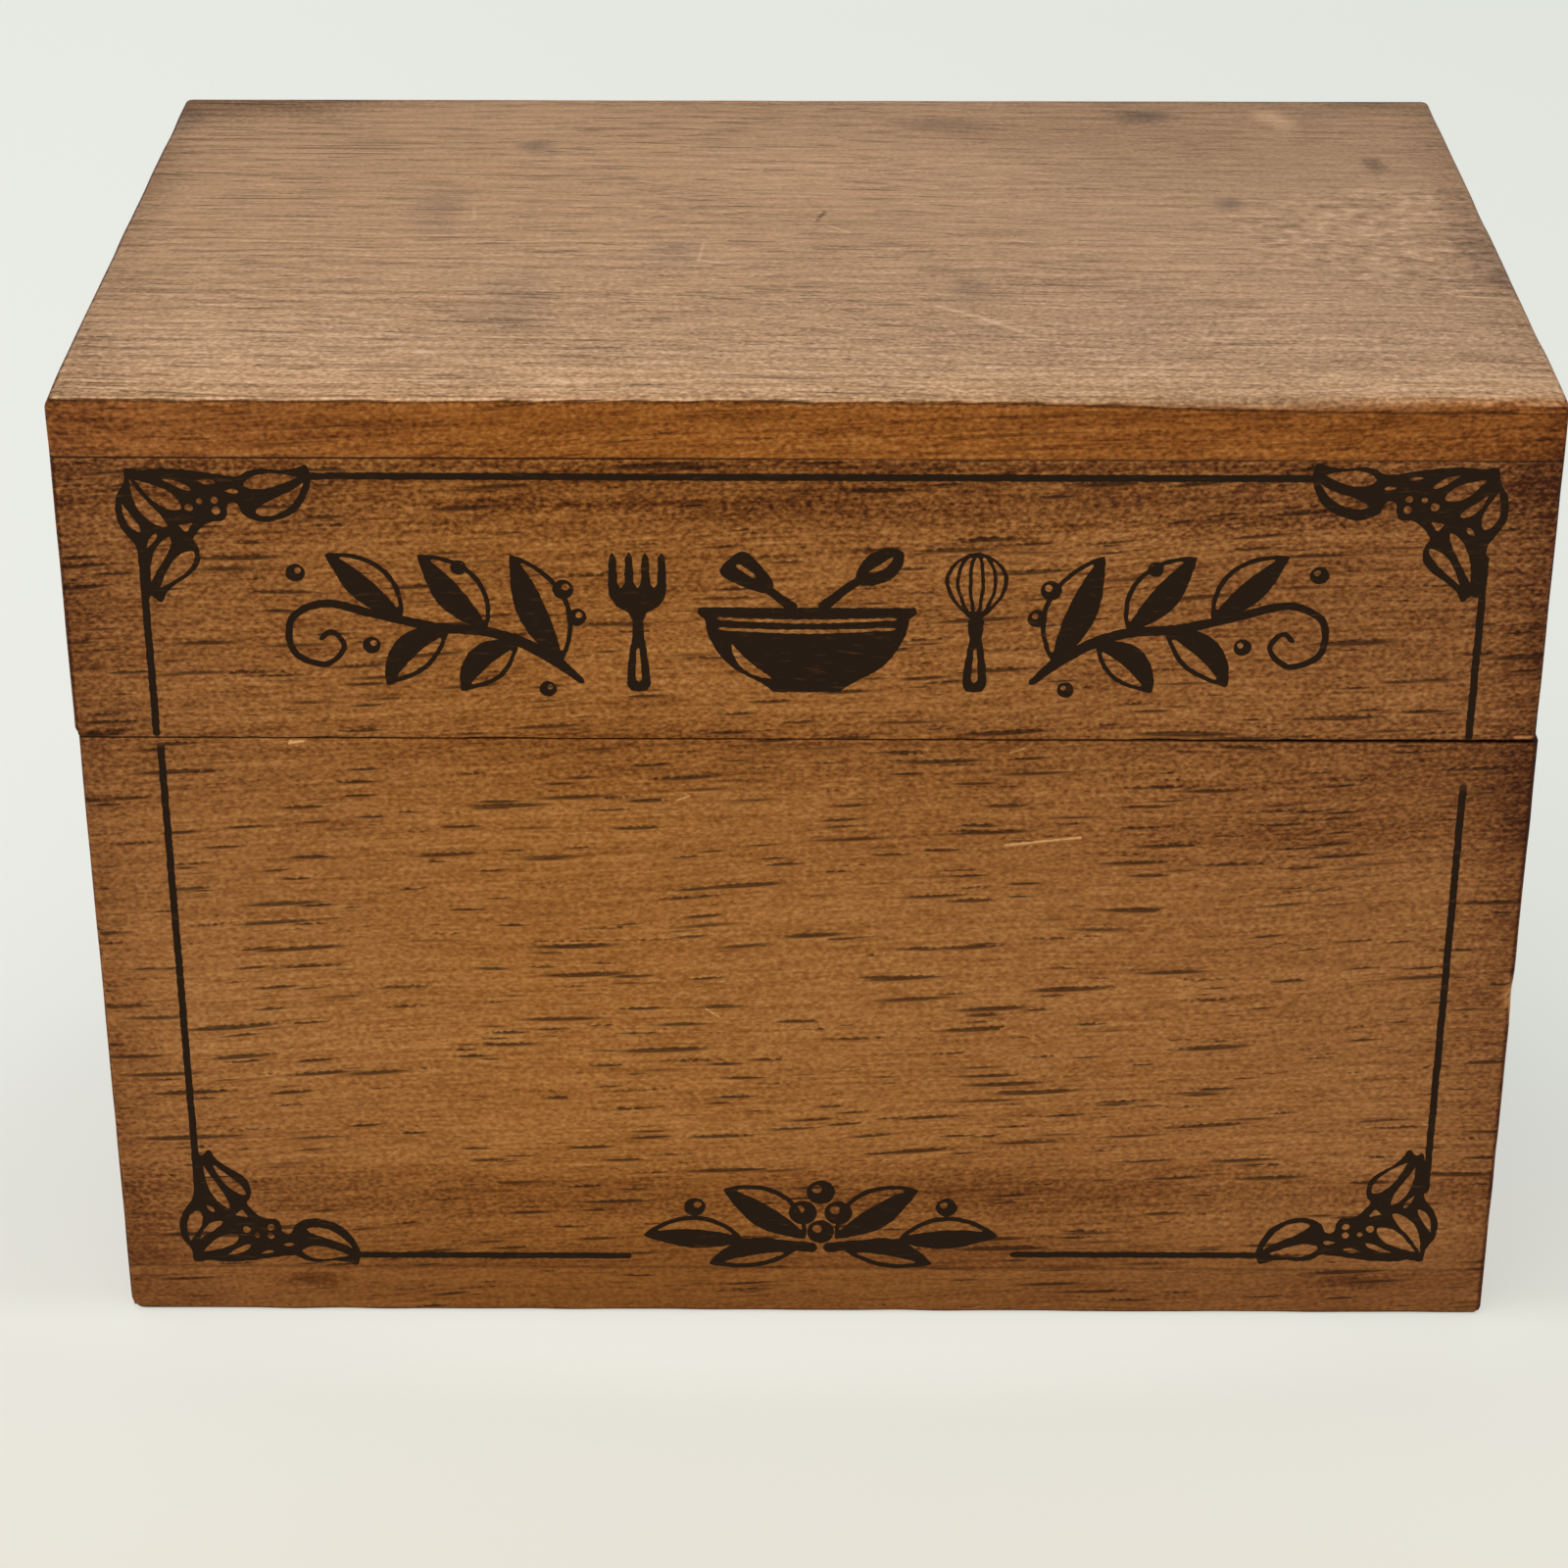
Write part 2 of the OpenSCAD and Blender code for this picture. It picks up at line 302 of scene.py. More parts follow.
STAIN_RAMP = ((0.0, "#3E1A04"), (0.25, "#6F3E12"), (0.5, "#9A6129"), (0.75, "#B98043"), (1.0, "#D8A366"))
EDGE_RAMP = ((0.0, "#3A1604"), (0.25, "#6E390A"), (0.5, "#995A1E"), (0.75, "#BA7C3C"), (1.0, "#D8A163"))
# Partly painted sheen: these colours are paler and greyer than fading alone, and stand in for the top's reflection of
# the bright room
FADED_AND_SHEEN_RAMP = ((0.0, "#654830"), (0.25, "#8D6C4E"), (0.5, "#AE8865"), (0.75, "#CCA582"), (1.0, "#E5C09F"))
BARE_RAMP = ((0.0, "#8A6844"), (0.5, "#B8936A"), (1.0, "#D0B088"))
# Pores, joint lines and dirt take this colour, and so do the painted shade along the top's lip and in the saw cut
PORE_AND_SHADE_COLOUR = "#1E0C03"
SOOT_COLOUR = "#534842"


# %% The wood's material
def stained_wood(name, grain_turn, shift, marks=(), scratches=(), smudges=(), faded_top=False):
    """Stained hardwood whose grain lies along x turned by grain_turn degrees about z. shift moves the
    pattern, so that no two boards show the same figure. Each mark is a centre, half sizes, how far
    it changes the tone, and how ragged its border is. A scratch is its two ends, half its width and
    the change. A smudge is a mark whose change is its share of soot."""
    look = FADED if faded_top else STAINED
    material, tree = new_material(name)
    add = functools.partial(node, tree)
    at_m = add("TexCoord").node.outputs["Object"]
    at = add("VectorMath", {0: at_m, "Scale": 1 / MM}, operation="SCALE")
    turned = add("Mapping", {
        "Vector": at, "Rotation": (0, math.radians(GRAIN_TILT), math.radians(grain_turn)), "Location": shift})

    # Pores and fibres drift up and down a little along the board, as a tree's do
    slow = add("VectorMath", (turned, (1 / 45, 1 / 20, 1 / 20)), operation="MULTIPLY")
    drift = add("TexNoise", {"Vector": slow, "Scale": 1.0, "Detail": 1.0}).node.outputs["Color"]
    off = add("VectorMath", (drift, (0.5, 0.5, 0.5)), operation="SUBTRACT")
    grain = add("VectorMath", (off, (0.0, DRIFT_MM, DRIFT_MM), turned), operation="MULTIPLY_ADD")
    # Noise lies on a lattice. Turned after it is stretched, its rows and columns don't show on a board
    pattern = {}
    for key, (along, wide, detail, roughness) in PATTERNS.items():
        cells = add("Mapping", {
            "Vector": grain, "Scale": (1 / along, 1 / (WIDER_IN_Y * wide), 1 / wide), "Rotation": LATTICE_TURN})
        pattern[key] = add("TexNoise", {"Vector": cells, "Scale": 1.0, "Detail": detail, "Roughness": roughness})
    cloud, fibre, fleck = pattern["cloud"], pattern["fibre"], pattern["fleck"]

    # Depth below each outside face: width, then depth, then height
    place_x, place_y, place_z = list(add("SeparateXYZ", (at,)).node.outputs)
    centred = add("VectorMath", (at, (0.0, 0.0, TOP_Z / 2)), operation="SUBTRACT")
    mirrored_at = add("VectorMath", (centred,), operation="ABSOLUTE")
    inward = add("VectorMath", ((HALF_W, BACK_Y, TOP_Z / 2), mirrored_at), operation="SUBTRACT")
    depth_x, depth_y, depth_z = list(add("SeparateXYZ", (inward,)).node.outputs)
    near_xy = add("Math", (depth_x, depth_y), operation="MINIMUM")
    far_xy = add("Math", (depth_x, depth_y), operation="MAXIMUM")
    skin_depth = add("Math", (near_xy, depth_z), operation="MINIMUM")
    # The second smallest depth: on an outside face, the distance to the nearest edge of that face
    far_or_up = add("Math", (far_xy, depth_z), operation="MINIMUM")
    from_edge = add("Math", (near_xy, far_or_up), operation="MAXIMUM")

    # Each pattern is centred on one half, so a sum starts lower by half of what its patterns add
    tone = 0.5 - (look["figure"] + look["cloud"]) / 2
    for key in ("figure", "cloud"):
        tone = add("Math", (pattern[key], look[key], tone), operation="MULTIPLY_ADD")
    # The fine grain is livelier high on the front and near the front of the top, and calm where the
    # edges of the top and bottom boards show as strips
    fleck_share = add("MapRange", (place_y, -45.0, 0.0, look["fleck"], 0.5 * look["fleck"])) if faded_top else look["fleck"]
    fine = add("Math", (fibre, -0.5), operation="ADD")
    fine = add("Math", (fine, look["fibre"]), operation="MULTIPLY")
    speckle = add("Math", (fleck, -0.5), operation="ADD")
    fine = add("Math", (speckle, fleck_share, fine), operation="MULTIPLY_ADD")
    if faded_top:
        lively = add("MapRange", (place_y, -45.0, 40.0, 1.12, 0.66))
        calm = add("MapRange", (place_z, TOP_Z - 1.2, TOP_Z - 0.4, 0.75, 1.0))
    else:
        lively = add("MapRange", (place_z, 55.0, 95.0, 0.88, 1.2))
        calm = add("MapRange", (place_z, BOTTOM_JOINT_Z - 1.0, BOTTOM_JOINT_Z + 8.0, 0.6, 1.0))
    lively = add("Math", (lively, calm), operation="MULTIPLY")
    tone = add("Math", (fine, lively, tone), operation="MULTIPLY_ADD")

    # Growth rings are waves across the grain that wander, and are clearer towards the left of the top
    across = add("VectorMath", (grain, (0.0, 1 / RING_MM, 0.6 / RING_MM)), operation="DOT_PRODUCT")
    phase = add("Math", (pattern["ring"], RING_WANDER, across), operation="MULTIPLY_ADD")
    phase = add("Math", (fibre, 0.3, phase), operation="MULTIPLY_ADD")
    wave = add("Math", (phase, 0.5), operation="PINGPONG")
    wave = add("MapRange", (wave, 0.05, 0.35, look["ring"], 0.0), interpolation_type="SMOOTHSTEP")
    clear = add("MapRange", (pattern["figure"], 0.35, 0.55, 0.3, 1.0))
    clear = add("Math", (clear, lively), operation="MULTIPLY")
    clear = add("Math", (clear, add("MapRange", (place_x, -40.0, 20.0, 1.0, 0.5))), operation="MULTIPLY")
    if faded_top:
        clear = add("Math", (clear, add("MapRange", (place_z, TOP_Z - 2.0, TOP_Z - 0.5, 0.2, 1.0))),
                    operation="MULTIPLY")
    tone = add("Math", (wave, clear, tone), operation="MULTIPLY_ADD")

    # A vein is a dark line where its noise passes through one half, broken up by the fibres
    from_vein = add("Math", (pattern["vein"], 0.5), operation="SUBTRACT")
    from_vein = add("Math", (from_vein,), operation="ABSOLUTE")
    vein = add("MapRange", (from_vein, 0.0, VEIN_WIDTH, look["vein"], 0.0))
    kept = add("MapRange", (fibre, 0.6, 0.42, 0.0, 1.0))
    tone = add("Math", (vein, kept, tone), operation="MULTIPLY_ADD")

    # The sprayed shading swells and shrinks with the cloud, so its border isn't ruled
    ragged_edge = add("Math", (cloud, 24.0, from_edge), operation="MULTIPLY_ADD")
    shade = add("MapRange", (ragged_edge, 8.0, 12.0 + EDGE_SHADE_MM, -0.06, 0.0),
                interpolation_type="SMOOTHSTEP")
    tone = add("Math", (tone, shade), operation="ADD")

    # Stain and dirt have gathered on the eased arrises, and the shade of an arris that rounds away from the light is
    # painted in with them, so a thin dark line runs down the edges
    side_arris = add("Math", (depth_x, depth_z), operation="MAXIMUM")
    to_arris = side_arris if faded_top else from_edge
    arris_dirt_and_shade = add("MapRange", (to_arris, 0.1, ARRIS_MM, -0.34, 0.0), interpolation_type="SMOOTHSTEP")
    tone = add("Math", (tone, arris_dirt_and_shade), operation="ADD")

    # Marks: distance from the centre in half sizes, bent by the drift and roughened by the fleck
    for centre, half, change, ragged in marks:
        scale = tuple(1 / h for h in half)
        start = tuple(-c / h for c, h in zip(centre, half))
        scaled = add("VectorMath", (at, scale, start), operation="MULTIPLY_ADD")
        bent = add("VectorMath", (off, (1.6 * ragged,) * 3, scaled), operation="MULTIPLY_ADD")
        reach = add("VectorMath", (bent,), operation="LENGTH")
        reach = add("Math", (fleck, ragged, reach), operation="MULTIPLY_ADD")
        spot = add("MapRange", (reach, 0.2 + ragged / 2, 1.3 + ragged / 2, change, 0.0),
                   interpolation_type="SMOOTHSTEP")
        tone = add("Math", (tone, spot), operation="ADD")

    # Scratches: the distance from a straight stretch, made uneven by the fleck
    for start, end, width, change in scratches:
        stretch = Vector(end) - Vector(start)
        from_start = add("VectorMath", (at, start), operation="SUBTRACT")
        share = add("VectorMath", (from_start, tuple(stretch / stretch.length_squared)), operation="DOT_PRODUCT")
        share = add("Clamp", (share,))
        nearest = add("VectorMath", {0: tuple(stretch), "Scale": share}, operation="SCALE")
        gap = add("VectorMath", (from_start, nearest), operation="DISTANCE")
        gap = add("Math", (fleck, 2.0 * width, gap), operation="MULTIPLY_ADD")
        line = add("MapRange", (gap, 1.2 * width, 2.0 * width, change, 0.0))
        tone = add("Math", (tone, line), operation="ADD")

    # The lip is where the faded skin ends on the front: low and crisp at the left, worn at the right.
    # Above it the arris is rubbed bright at the left and has gone brown at the right
    if faded_top:
        lip = add("MapRange", (place_x, 10.0, 58.0, 0.4, 1.3), interpolation_type="SMOOTHSTEP")
        lip = add("Math", (fibre, 0.9, lip), operation="MULTIPLY_ADD")
        lip = add("Math", (lip, 0.45), operation="SUBTRACT")
        lip = add("Math", (lip, 0.2), operation="MAXIMUM")
        below_arris = add("Math", (depth_y, depth_z), operation="MAXIMUM")
        arris = add("MapRange", (below_arris, 0.15, 0.5, 1.0, 0.0))
        gain = add("MapRange", (place_x, -20.0, 45.0, 0.32, -0.08))
        tone = add("Math", (arris, gain, tone), operation="MULTIPLY_ADD")
        bruise_at = add("VectorMath", (at, (1 / 24, 1 / 26, 1 / 4), (-62 / 24, 1 / 26, -TOP_Z / 4)),
                        operation="MULTIPLY_ADD")
        bruise_at = add("VectorMath", (bruise_at, off), operation="ADD")
        bruise = add("VectorMath", (bruise_at,), operation="LENGTH")
        bruise = add("MapRange", (bruise, 0.4, 1.0, 1.0, 0.0), interpolation_type="SMOOTHSTEP")
        dents = add("Math", (pattern["dent"], 0.5), operation="SUBTRACT")
        dents = add("Math", (dents, bruise), operation="MULTIPLY")
        tone = add("Math", (dents, 0.9, tone), operation="MULTIPLY_ADD")

    # Pores: a cell of the pattern holds a pore where its random number is high enough. The fleck frays
    # the pore's outline, and its tails fade
    fray = add("VectorMath", {0: fleck, "Scale": PORE_FRAY_MM}, operation="SCALE")
    frayed = add("VectorMath", (grain, fray), operation="ADD")
    pores = None
    for along, wide, fewest, most in FADED_PORES if faded_top else STAINED_PORES:
        cells = add("Mapping", {"Vector": frayed, "Scale": (1 / along, 1 / wide, 1 / wide), "Rotation": LATTICE_TURN})
        cells = add("TexVoronoi", {"Vector": cells, "Scale": 1.0}).node.outputs
        lot = add("SeparateColor", (cells["Color"],))
        size = add("MapRange", (lot, fewest, 1.0, 0.0, most))
        inside_pore = add("Math", (size, cells["Distance"]), operation="SUBTRACT")
        pore = add("MapRange", (inside_pore, 0.0, 0.18))
        pores = pore if pores is None else add("Math", (pores, pore), operation="MAXIMUM")

    # The colour is a little greyer towards the right and at the sprayed left side
    colour = add("ValToRGB", {"Fac": tone}, stops=EDGE_RAMP if faded_top else STAIN_RAMP)
    warmth = add("MapRange", (place_x, -20.0, 70.0, 0.99, 0.975 if faded_top else 0.945))
    left_warmth = add("MapRange", (place_x, -75.0, -30.0, 0.96, 1.0))
    warmth = add("Math", (warmth, left_warmth), operation="MULTIPLY")
    colour = add("HueSaturation", {"Saturation": warmth, "Color": colour})
    if faded_top:
        # Painted sheen and fading: the pale colour of the top's skin
        faded_and_sheen = add("ValToRGB", {"Fac": tone}, stops=FADED_AND_SHEEN_RAMP)
        faded_warmth = add("MapRange", (place_x, -30.0, 60.0, 0.975, 0.94))
        front_warmth = add("MapRange", (place_y, -47.0, -34.0, 0.06, 0.0))
        faded_warmth = add("Math", (faded_warmth, front_warmth), operation="ADD")
        faded_and_sheen = add("HueSaturation", {"Saturation": faded_warmth, "Color": faded_and_sheen})
        # A second, finer noise pulls the outlines of the smudges about
        lumpy = add("TexNoise", {"Vector": at, "Scale": 0.22, "Detail": 2.0}).node.outputs["Color"]
        uneven = add("VectorMath", (lumpy, (0.5, 0.5, 0.5)), operation="SUBTRACT")
        for centre, half, share, ragged in smudges:
            scale = tuple(1 / h for h in half)
            start = tuple(-c / h for c, h in zip(centre, half))
            scaled = add("VectorMath", (at, scale, start), operation="MULTIPLY_ADD")
            bent = add("VectorMath", (off, (3.0 * ragged,) * 3, scaled), operation="MULTIPLY_ADD")
            bent = add("VectorMath", (uneven, (2.0 * ragged,) * 3, bent), operation="MULTIPLY_ADD")
            reach = add("VectorMath", (bent,), operation="LENGTH")
            soot = add("MapRange", (reach, 0.1, 1.3, share, 0.0), interpolation_type="SMOOTHSTEP")
            faded_and_sheen = add("Mix", {"Factor_Float": soot, "A_Color": faded_and_sheen, "B_Color": hex_colour(SOOT_COLOUR)},
                        data_type="RGBA")
        to_lip = add("Math", (depth_z, lip), operation="DIVIDE")
        on_top = add("MapRange", (to_lip, 0.35, 1.0, 1.0, 0.0))
        # At the right the arris itself has lost its faded skin too
        brown = add("Math", (fibre, 1.6, depth_y), operation="MULTIPLY_ADD")
        brown = add("MapRange", (brown, 1.2, 2.1, 1.0, 0.0))
        bared = add("MapRange", (place_x, 42.0, 64.0, 0.0, 0.9), interpolation_type="SMOOTHSTEP")
        brown = add("Math", (brown, bared), operation="MULTIPLY")
        kept_skin = add("Math", (1.0, brown), operation="SUBTRACT")
        on_top = add("Math", (on_top, kept_skin), operation="MULTIPLY")
        colour = add("Mix", {"Factor_Float": on_top, "A_Color": colour, "B_Color": faded_and_sheen}, data_type="RGBA")
        # Painted shade: a dark line along the lip, under the rubbed arris
        off_lip = add("Math", (depth_z, lip), operation="SUBTRACT")
        off_lip = add("Math", (off_lip,), operation="ABSOLUTE")
        painted_shade_under_arris = add("MapRange", (off_lip, 0.03, 0.2, 0.7, 0.0))
        colour = add("Mix", {"Factor_Float": painted_shade_under_arris, "A_Color": colour, "B_Color": hex_colour(PORE_AND_SHADE_COLOUR)},
                     data_type="RGBA")

    # Stain was sprayed on the closed box, so it fades out over the rims and leaves the inside bare
    inside = add("MapRange", (skin_depth, 2.0, 5.0))
    bare = add("ValToRGB", {"Fac": tone}, stops=BARE_RAMP)
    colour = add("Mix", {"Factor_Float": inside, "A_Color": colour, "B_Color": bare}, data_type="RGBA")

    # Dirt lies in the hairlines where the top and bottom boards meet the walls. The saw cut is darkened as dirt and as
    # painted shade in the gap between lid and base
    broken = add("MapRange", (cloud, 0.4, 0.55, 0.35, 0.9))
    seam_mm = add("MapRange", (place_x, 15.0, 60.0, *SEAM_LINE_MM), interpolation_type="SMOOTHSTEP")
    seam_share = add("MapRange", (place_x, 0.0, 50.0, 0.6, 0.95))
    seam_z = (LID_RIM_Z + BASE_RIM_Z) / 2
    pore_share = add("MapRange", (place_x, 0.0, 55.0, look["pore"], 0.55 * look["pore"])) if faded_top else look["pore"]
    stained = add("MapRange", (inside, 0.0, 1.0, 1.0, 0.45))
    pore_share = add("Math", (stained, pore_share), operation="MULTIPLY")
    dirt_and_seam_shade = add("Math", (pores, pore_share), operation="MULTIPLY")
    outside = add("MapRange", (near_xy, 0.4, 1.2, 1.0, 0.0))
    for joint_z, width, share in ((TOP_JOINT_Z, JOINT_LINE_MM, broken), (BOTTOM_JOINT_Z, 2 * JOINT_LINE_MM, 0.3),
                                  (seam_z, seam_mm, seam_share)):
        gap = add("Math", (place_z, joint_z), operation="SUBTRACT")
        gap = add("Math", (gap,), operation="ABSOLUTE")
        gap = add("Math", (gap, width), operation="DIVIDE")
        line = add("MapRange", (gap, 0.3, 1.0, 1.0, 0.0))
        line = add("Math", (line, share), operation="MULTIPLY")
        line = add("Math", (line, outside), operation="MULTIPLY")
        dirt_and_seam_shade = add("Math", (dirt_and_seam_shade, line), operation="MAXIMUM")
    colour = add("Mix", {"Factor_Float": dirt_and_seam_shade, "A_Color": colour, "B_Color": hex_colour(PORE_AND_SHADE_COLOUR)},
                 data_type="RGBA")

    # Relief in millimetres: fibres stand about 0.02 proud, and dirt lies 0.08 deep
    relief = add("Math", (fibre, 0.045), operation="MULTIPLY")
    relief = add("Math", (fleck, 0.03, relief), operation="MULTIPLY_ADD")
    relief = add("Math", (dirt_and_seam_shade, -0.08, relief), operation="MULTIPLY_ADD")
    if faded_top:
        relief = add("Math", (dents, 0.35, relief), operation="MULTIPLY_ADD")
    bump = add("Bump", {"Height": relief, "Distance": MM, "Strength": 1.0})
    rough = add("MapRange", (fibre, 0.3, 0.7, 0.55, 0.68))
    shader = add("BsdfPrincipled", {
        "Base Color": colour, "Roughness": rough, "Normal": bump, "IOR": 1.45, "Specular IOR Level": 0.08})
    add("OutputMaterial", {"Surface": shader})
    return material


# %% [markdown]
# ## One finish for each pair of boards
#
# The front of the lid and the front of the base were one board before the saw went through, so they
# share a finish and the grain runs on over the cut. The same holds at the sides and the back. The
# top has lost most of its colour, and carries knots, smudges and rubbed patches. Its pale colour and
# its broad marks also hold a painted sheen, brighter towards the front left and darker towards the back right.

# %% The six finishes
def on_top(x, y, half_x, half_y, change, ragged=0.6):
    """A mark on the top face."""
    return (x, y, TOP_Z), (half_x, half_y, 4.0), change, ragged


def on_front(x, z, half_x, half_z, change, ragged=0.6):
    """A mark on the front."""
    return (x, FRONT_Y, z), (half_x, 4.0, half_z), change, ragged


# The broad marks across the whole top, lighter at the front and left and darker towards the back and right, are painted
# sheen: the lamp's reflection falling off over the top. The smaller ones are knots, stains and rubbed patches.
TOP_MARKS_AND_SHEEN = (
    on_top(0.0, 50.0, 130.0, 44.0, -0.075, 0.15), on_top(0.0, 49.0, 130.0, 5.0, -0.06, 0.2),
    on_top(0.0, 47.8, 130.0, 0.7, -0.2, 0.1),
    on_top(0.0, -48.5, 130.0, 9.0, 0.12, 0.2), on_top(6.0, -46.6, 110.0, 2.6, 0.24, 0.2),
    on_top(50.0, 4.0, 56.0, 46.0, -0.03, 0.15), on_top(-34.0, 40.0, 22.0, 8.0, 0.04, 0.2),
    on_top(-68.0, 47.0, 26.0, 8.0, -0.26), on_top(50.0, 34.0, 40.0, 22.0, -0.09, 0.2), on_top(2.0, 22.0, 40.0, 14.0, 0.05, 0.2),
    on_top(0.0, -40.0, 66.0, 7.0, 0.06, 0.2), on_top(67.0, 46.0, 12.0, 6.0, -0.14, 0.3),
    on_top(-74.0, 20.0, 5.0, 34.0, -0.16, 0.3), on_top(-74.0, -32.0, 8.0, 20.0, -0.08, 0.2),
    on_top(74.0, 8.0, 6.0, 44.0, -0.14, 0.3), on_top(62.0, -43.5, 15.0, 6.0, 0.08, 0.3),
    on_top(-60.0, -36.0, 30.0, 16.0, 0.05, 0.15), on_top(16.2, 37.2, 8.0, 3.4, -0.08),
    on_top(37.6, 40.4, 4.4, 3.2, -0.16), on_top(52.8, 40.8, 2.0, 2.8, 0.2, 0.3),
    on_top(54.6, 38.0, 1.8, 2.8, 0.2, 0.3), on_top(63.4, 23.4, 1.6, 2.8, -0.16),
    on_top(54.5, -36.6, 4.0, 1.6, -0.1, 0.8), on_top(-25.0, -43.5, 5.0, 3.0, 0.1),
    on_top(-8.0, -7.5, 3.6, 3.6, 0.06, 0.3), on_top(70.5, -5.0, 4.0, 20.0, -0.08, 0.8),
    on_front(0.0, 105.2, 130.0, 3.0, -0.2, 0.2), on_front(-50.0, 101.4, 40.0, 1.8, 0.02, 0.2),
    on_front(30.0, 101.4, 50.0, 1.8, -0.03, 0.2), on_front(66.0, 99.6, 14.0, 3.0, -0.12, 0.2),
    on_front(40.0, 104.6, 60.0, 3.0, -0.12, 0.2), on_front(-40.0, 104.0, 50.0, 4.0, -0.12, 0.2),
    on_front(-73.0, 102.0, 7.0, 6.0, -0.1), on_front(73.0, 102.0, 4.0, 6.0, -0.16, 0.3),
)
TOP_SCRATCHES = (
    ((13.2, -21.9, TOP_Z), (17.7, -25.4, TOP_Z), 0.55, 0.25),
    ((17.7, -25.4, TOP_Z), (22.6, -30.4, TOP_Z), 0.5, 0.22),
    ((19.0, -27.6, TOP_Z), (24.4, -28.2, TOP_Z), 0.26, 0.14),
    ((-11.0, -3.0, TOP_Z), (-11.4, -8.3, TOP_Z), 0.3, 0.2),
    ((-11.4, -8.3, TOP_Z), (-4.9, -11.3, TOP_Z), 0.3, 0.2),
    ((1.9, 7.5, TOP_Z), (1.0, 4.4, TOP_Z), 0.36, -0.34),
    ((1.9, 3.0, TOP_Z), (4.4, 0.4, TOP_Z), 0.32, 0.22),
    ((-36.2, 8.4, TOP_Z), (-35.8, 4.5, TOP_Z), 0.3, 0.12),
    ((-30.5, -38.5, TOP_Z), (-21.5, -44.2, TOP_Z), 0.4, 0.12),
    ((-23.4, -41.0, TOP_Z), (-22.0, -45.4, TOP_Z), 0.3, -0.12),
    ((66.7, -18.7, TOP_Z), (72.0, -19.6, TOP_Z), 0.36, 0.3),
    ((47.2, 12.0, TOP_Z), (51.6, 9.6, TOP_Z), 0.4, 0.1),
    ((-30.0, 27.6, TOP_Z), (-27.6, 25.2, TOP_Z), 0.3, 0.1),
)
TOP_SMUDGES = (
    on_top(-31.0, 29.4, 2.4, 2.6, 0.52, 0.4), on_top(-28.9, 26.4, 0.9, 2.2, 0.25, 0.4),
    on_top(-39.0, 7.0, 3.2, 6.5, 0.28, 0.7), on_top(-29.5, -20.0, 5.0, 13.0, 0.22, 0.7),
    on_top(-13.7, -6.5, 3.6, 5.0, 0.24, 0.6), on_top(16.2, 37.2, 6.0, 2.6, 0.3, 0.7),
    on_top(37.6, 40.4, 3.4, 2.4, 0.42, 0.6), on_top(63.4, 23.4, 1.8, 2.4, 0.34, 0.6),
    on_top(45.7, 9.8, 2.0, 3.0, 0.55, 0.45), on_top(16.4, -17.2, 3.0, 5.0, 0.42, 0.6),
    on_top(17.2, -28.4, 2.6, 2.8, 0.2, 0.6), on_top(32.0, -25.0, 4.0, 6.0, 0.12, 0.7),
    on_top(70.5, -4.0, 3.6, 16.0, 0.2, 0.8), on_top(-71.5, 40.0, 3.0, 6.0, 0.3, 0.6),
)
FRONT_MARKS = (
    on_front(0.0, 88.0, 160.0, 14.0, -0.06, 0.15), on_front(0.0, 96.4, 140.0, 4.6, -0.13, 0.3),
    on_front(66.0, 84.0, 34.0, 22.0, -0.08, 0.2), on_front(0.0, 69.3, 140.0, 2.6, -0.06, 0.3),
    on_front(0.0, 15.6, 140.0, 3.8, -0.15, 0.25), on_front(0.0, 0.0, 140.0, 14.0, -0.12, 0.15),
    on_front(8.0, 67.0, 44.0, 5.0, -0.08, 0.3),
    on_front(62.0, 64.0, 28.0, 9.0, -0.11, 0.3), on_front(74.0, 66.0, 5.5, 30.0, -0.12, 0.3),
    on_front(-18.0, 36.0, 72.0, 24.0, 0.06, 0.2), on_front(50.0, 12.0, 30.0, 12.0, 0.06, 0.3), on_front(34.0, 52.0, 46.0, 16.0, -0.03, 0.2),
    on_front(-74.0, 60.0, 7.0, 80.0, -0.09, 0.3),
    on_front(74.0, 60.0, 8.0, 80.0, -0.08, 0.3), on_front(-72.0, 9.0, 8.0, 9.0, -0.1, 0.3),
    on_front(-66.0, 88.0, 26.0, 20.0, -0.03, 0.3), on_front(72.0, 98.0, 7.0, 6.0, -0.14, 0.3),
    on_front(54.0, 58.8, 26.0, 1.8, -0.09, 0.6), on_front(0.0, 98.8, 90.0, 0.6, -0.1, 1.0),
    on_front(-12.0, 94.8, 30.0, 0.7, -0.12, 1.0), on_front(34.0, 93.0, 24.0, 0.6, -0.12, 1.0),
    on_front(73.3, 39.8, 1.3, 2.5, 0.5, 0.2),
)
BOTTOM_MARKS = (
    on_front(0.0, 2.0, 140.0, 12.0, -0.06, 0.2), on_front(-72.0, 3.0, 10.0, 8.0, -0.1, 0.3),
    on_front(64.0, 3.0, 24.0, 8.0, -0.06, 0.3), on_front(-53.0, 4.2, 4.0, 1.0, -0.22),
    on_front(58.5, 4.4, 4.5, 0.9, -0.18),
)
FRONT_SCRATCHES = (
    ((20.2, FRONT_Y, 57.5), (27.7, FRONT_Y, 58.4), 0.2, 0.6),
    ((-51.6, FRONT_Y, 68.9), (-50.2, FRONT_Y, 69.1), 0.24, 1.2),
    ((-10.4, FRONT_Y, 38.2), (-9.0, FRONT_Y, 37.2), 0.15, 0.5),
    ((-13.0, FRONT_Y, 62.5), (-11.8, FRONT_Y, 63.0), 0.15, 0.5),
    ((20.4, FRONT_Y, 68.0), (21.8, FRONT_Y, 68.5), 0.15, 0.5),
    ((70.6, FRONT_Y, 69.9), (72.8, FRONT_Y, 69.9), 0.25, 0.6),
    ((-27.7, FRONT_Y, 46.1), (-13.7, FRONT_Y, 46.4), 0.14, -0.3),
)
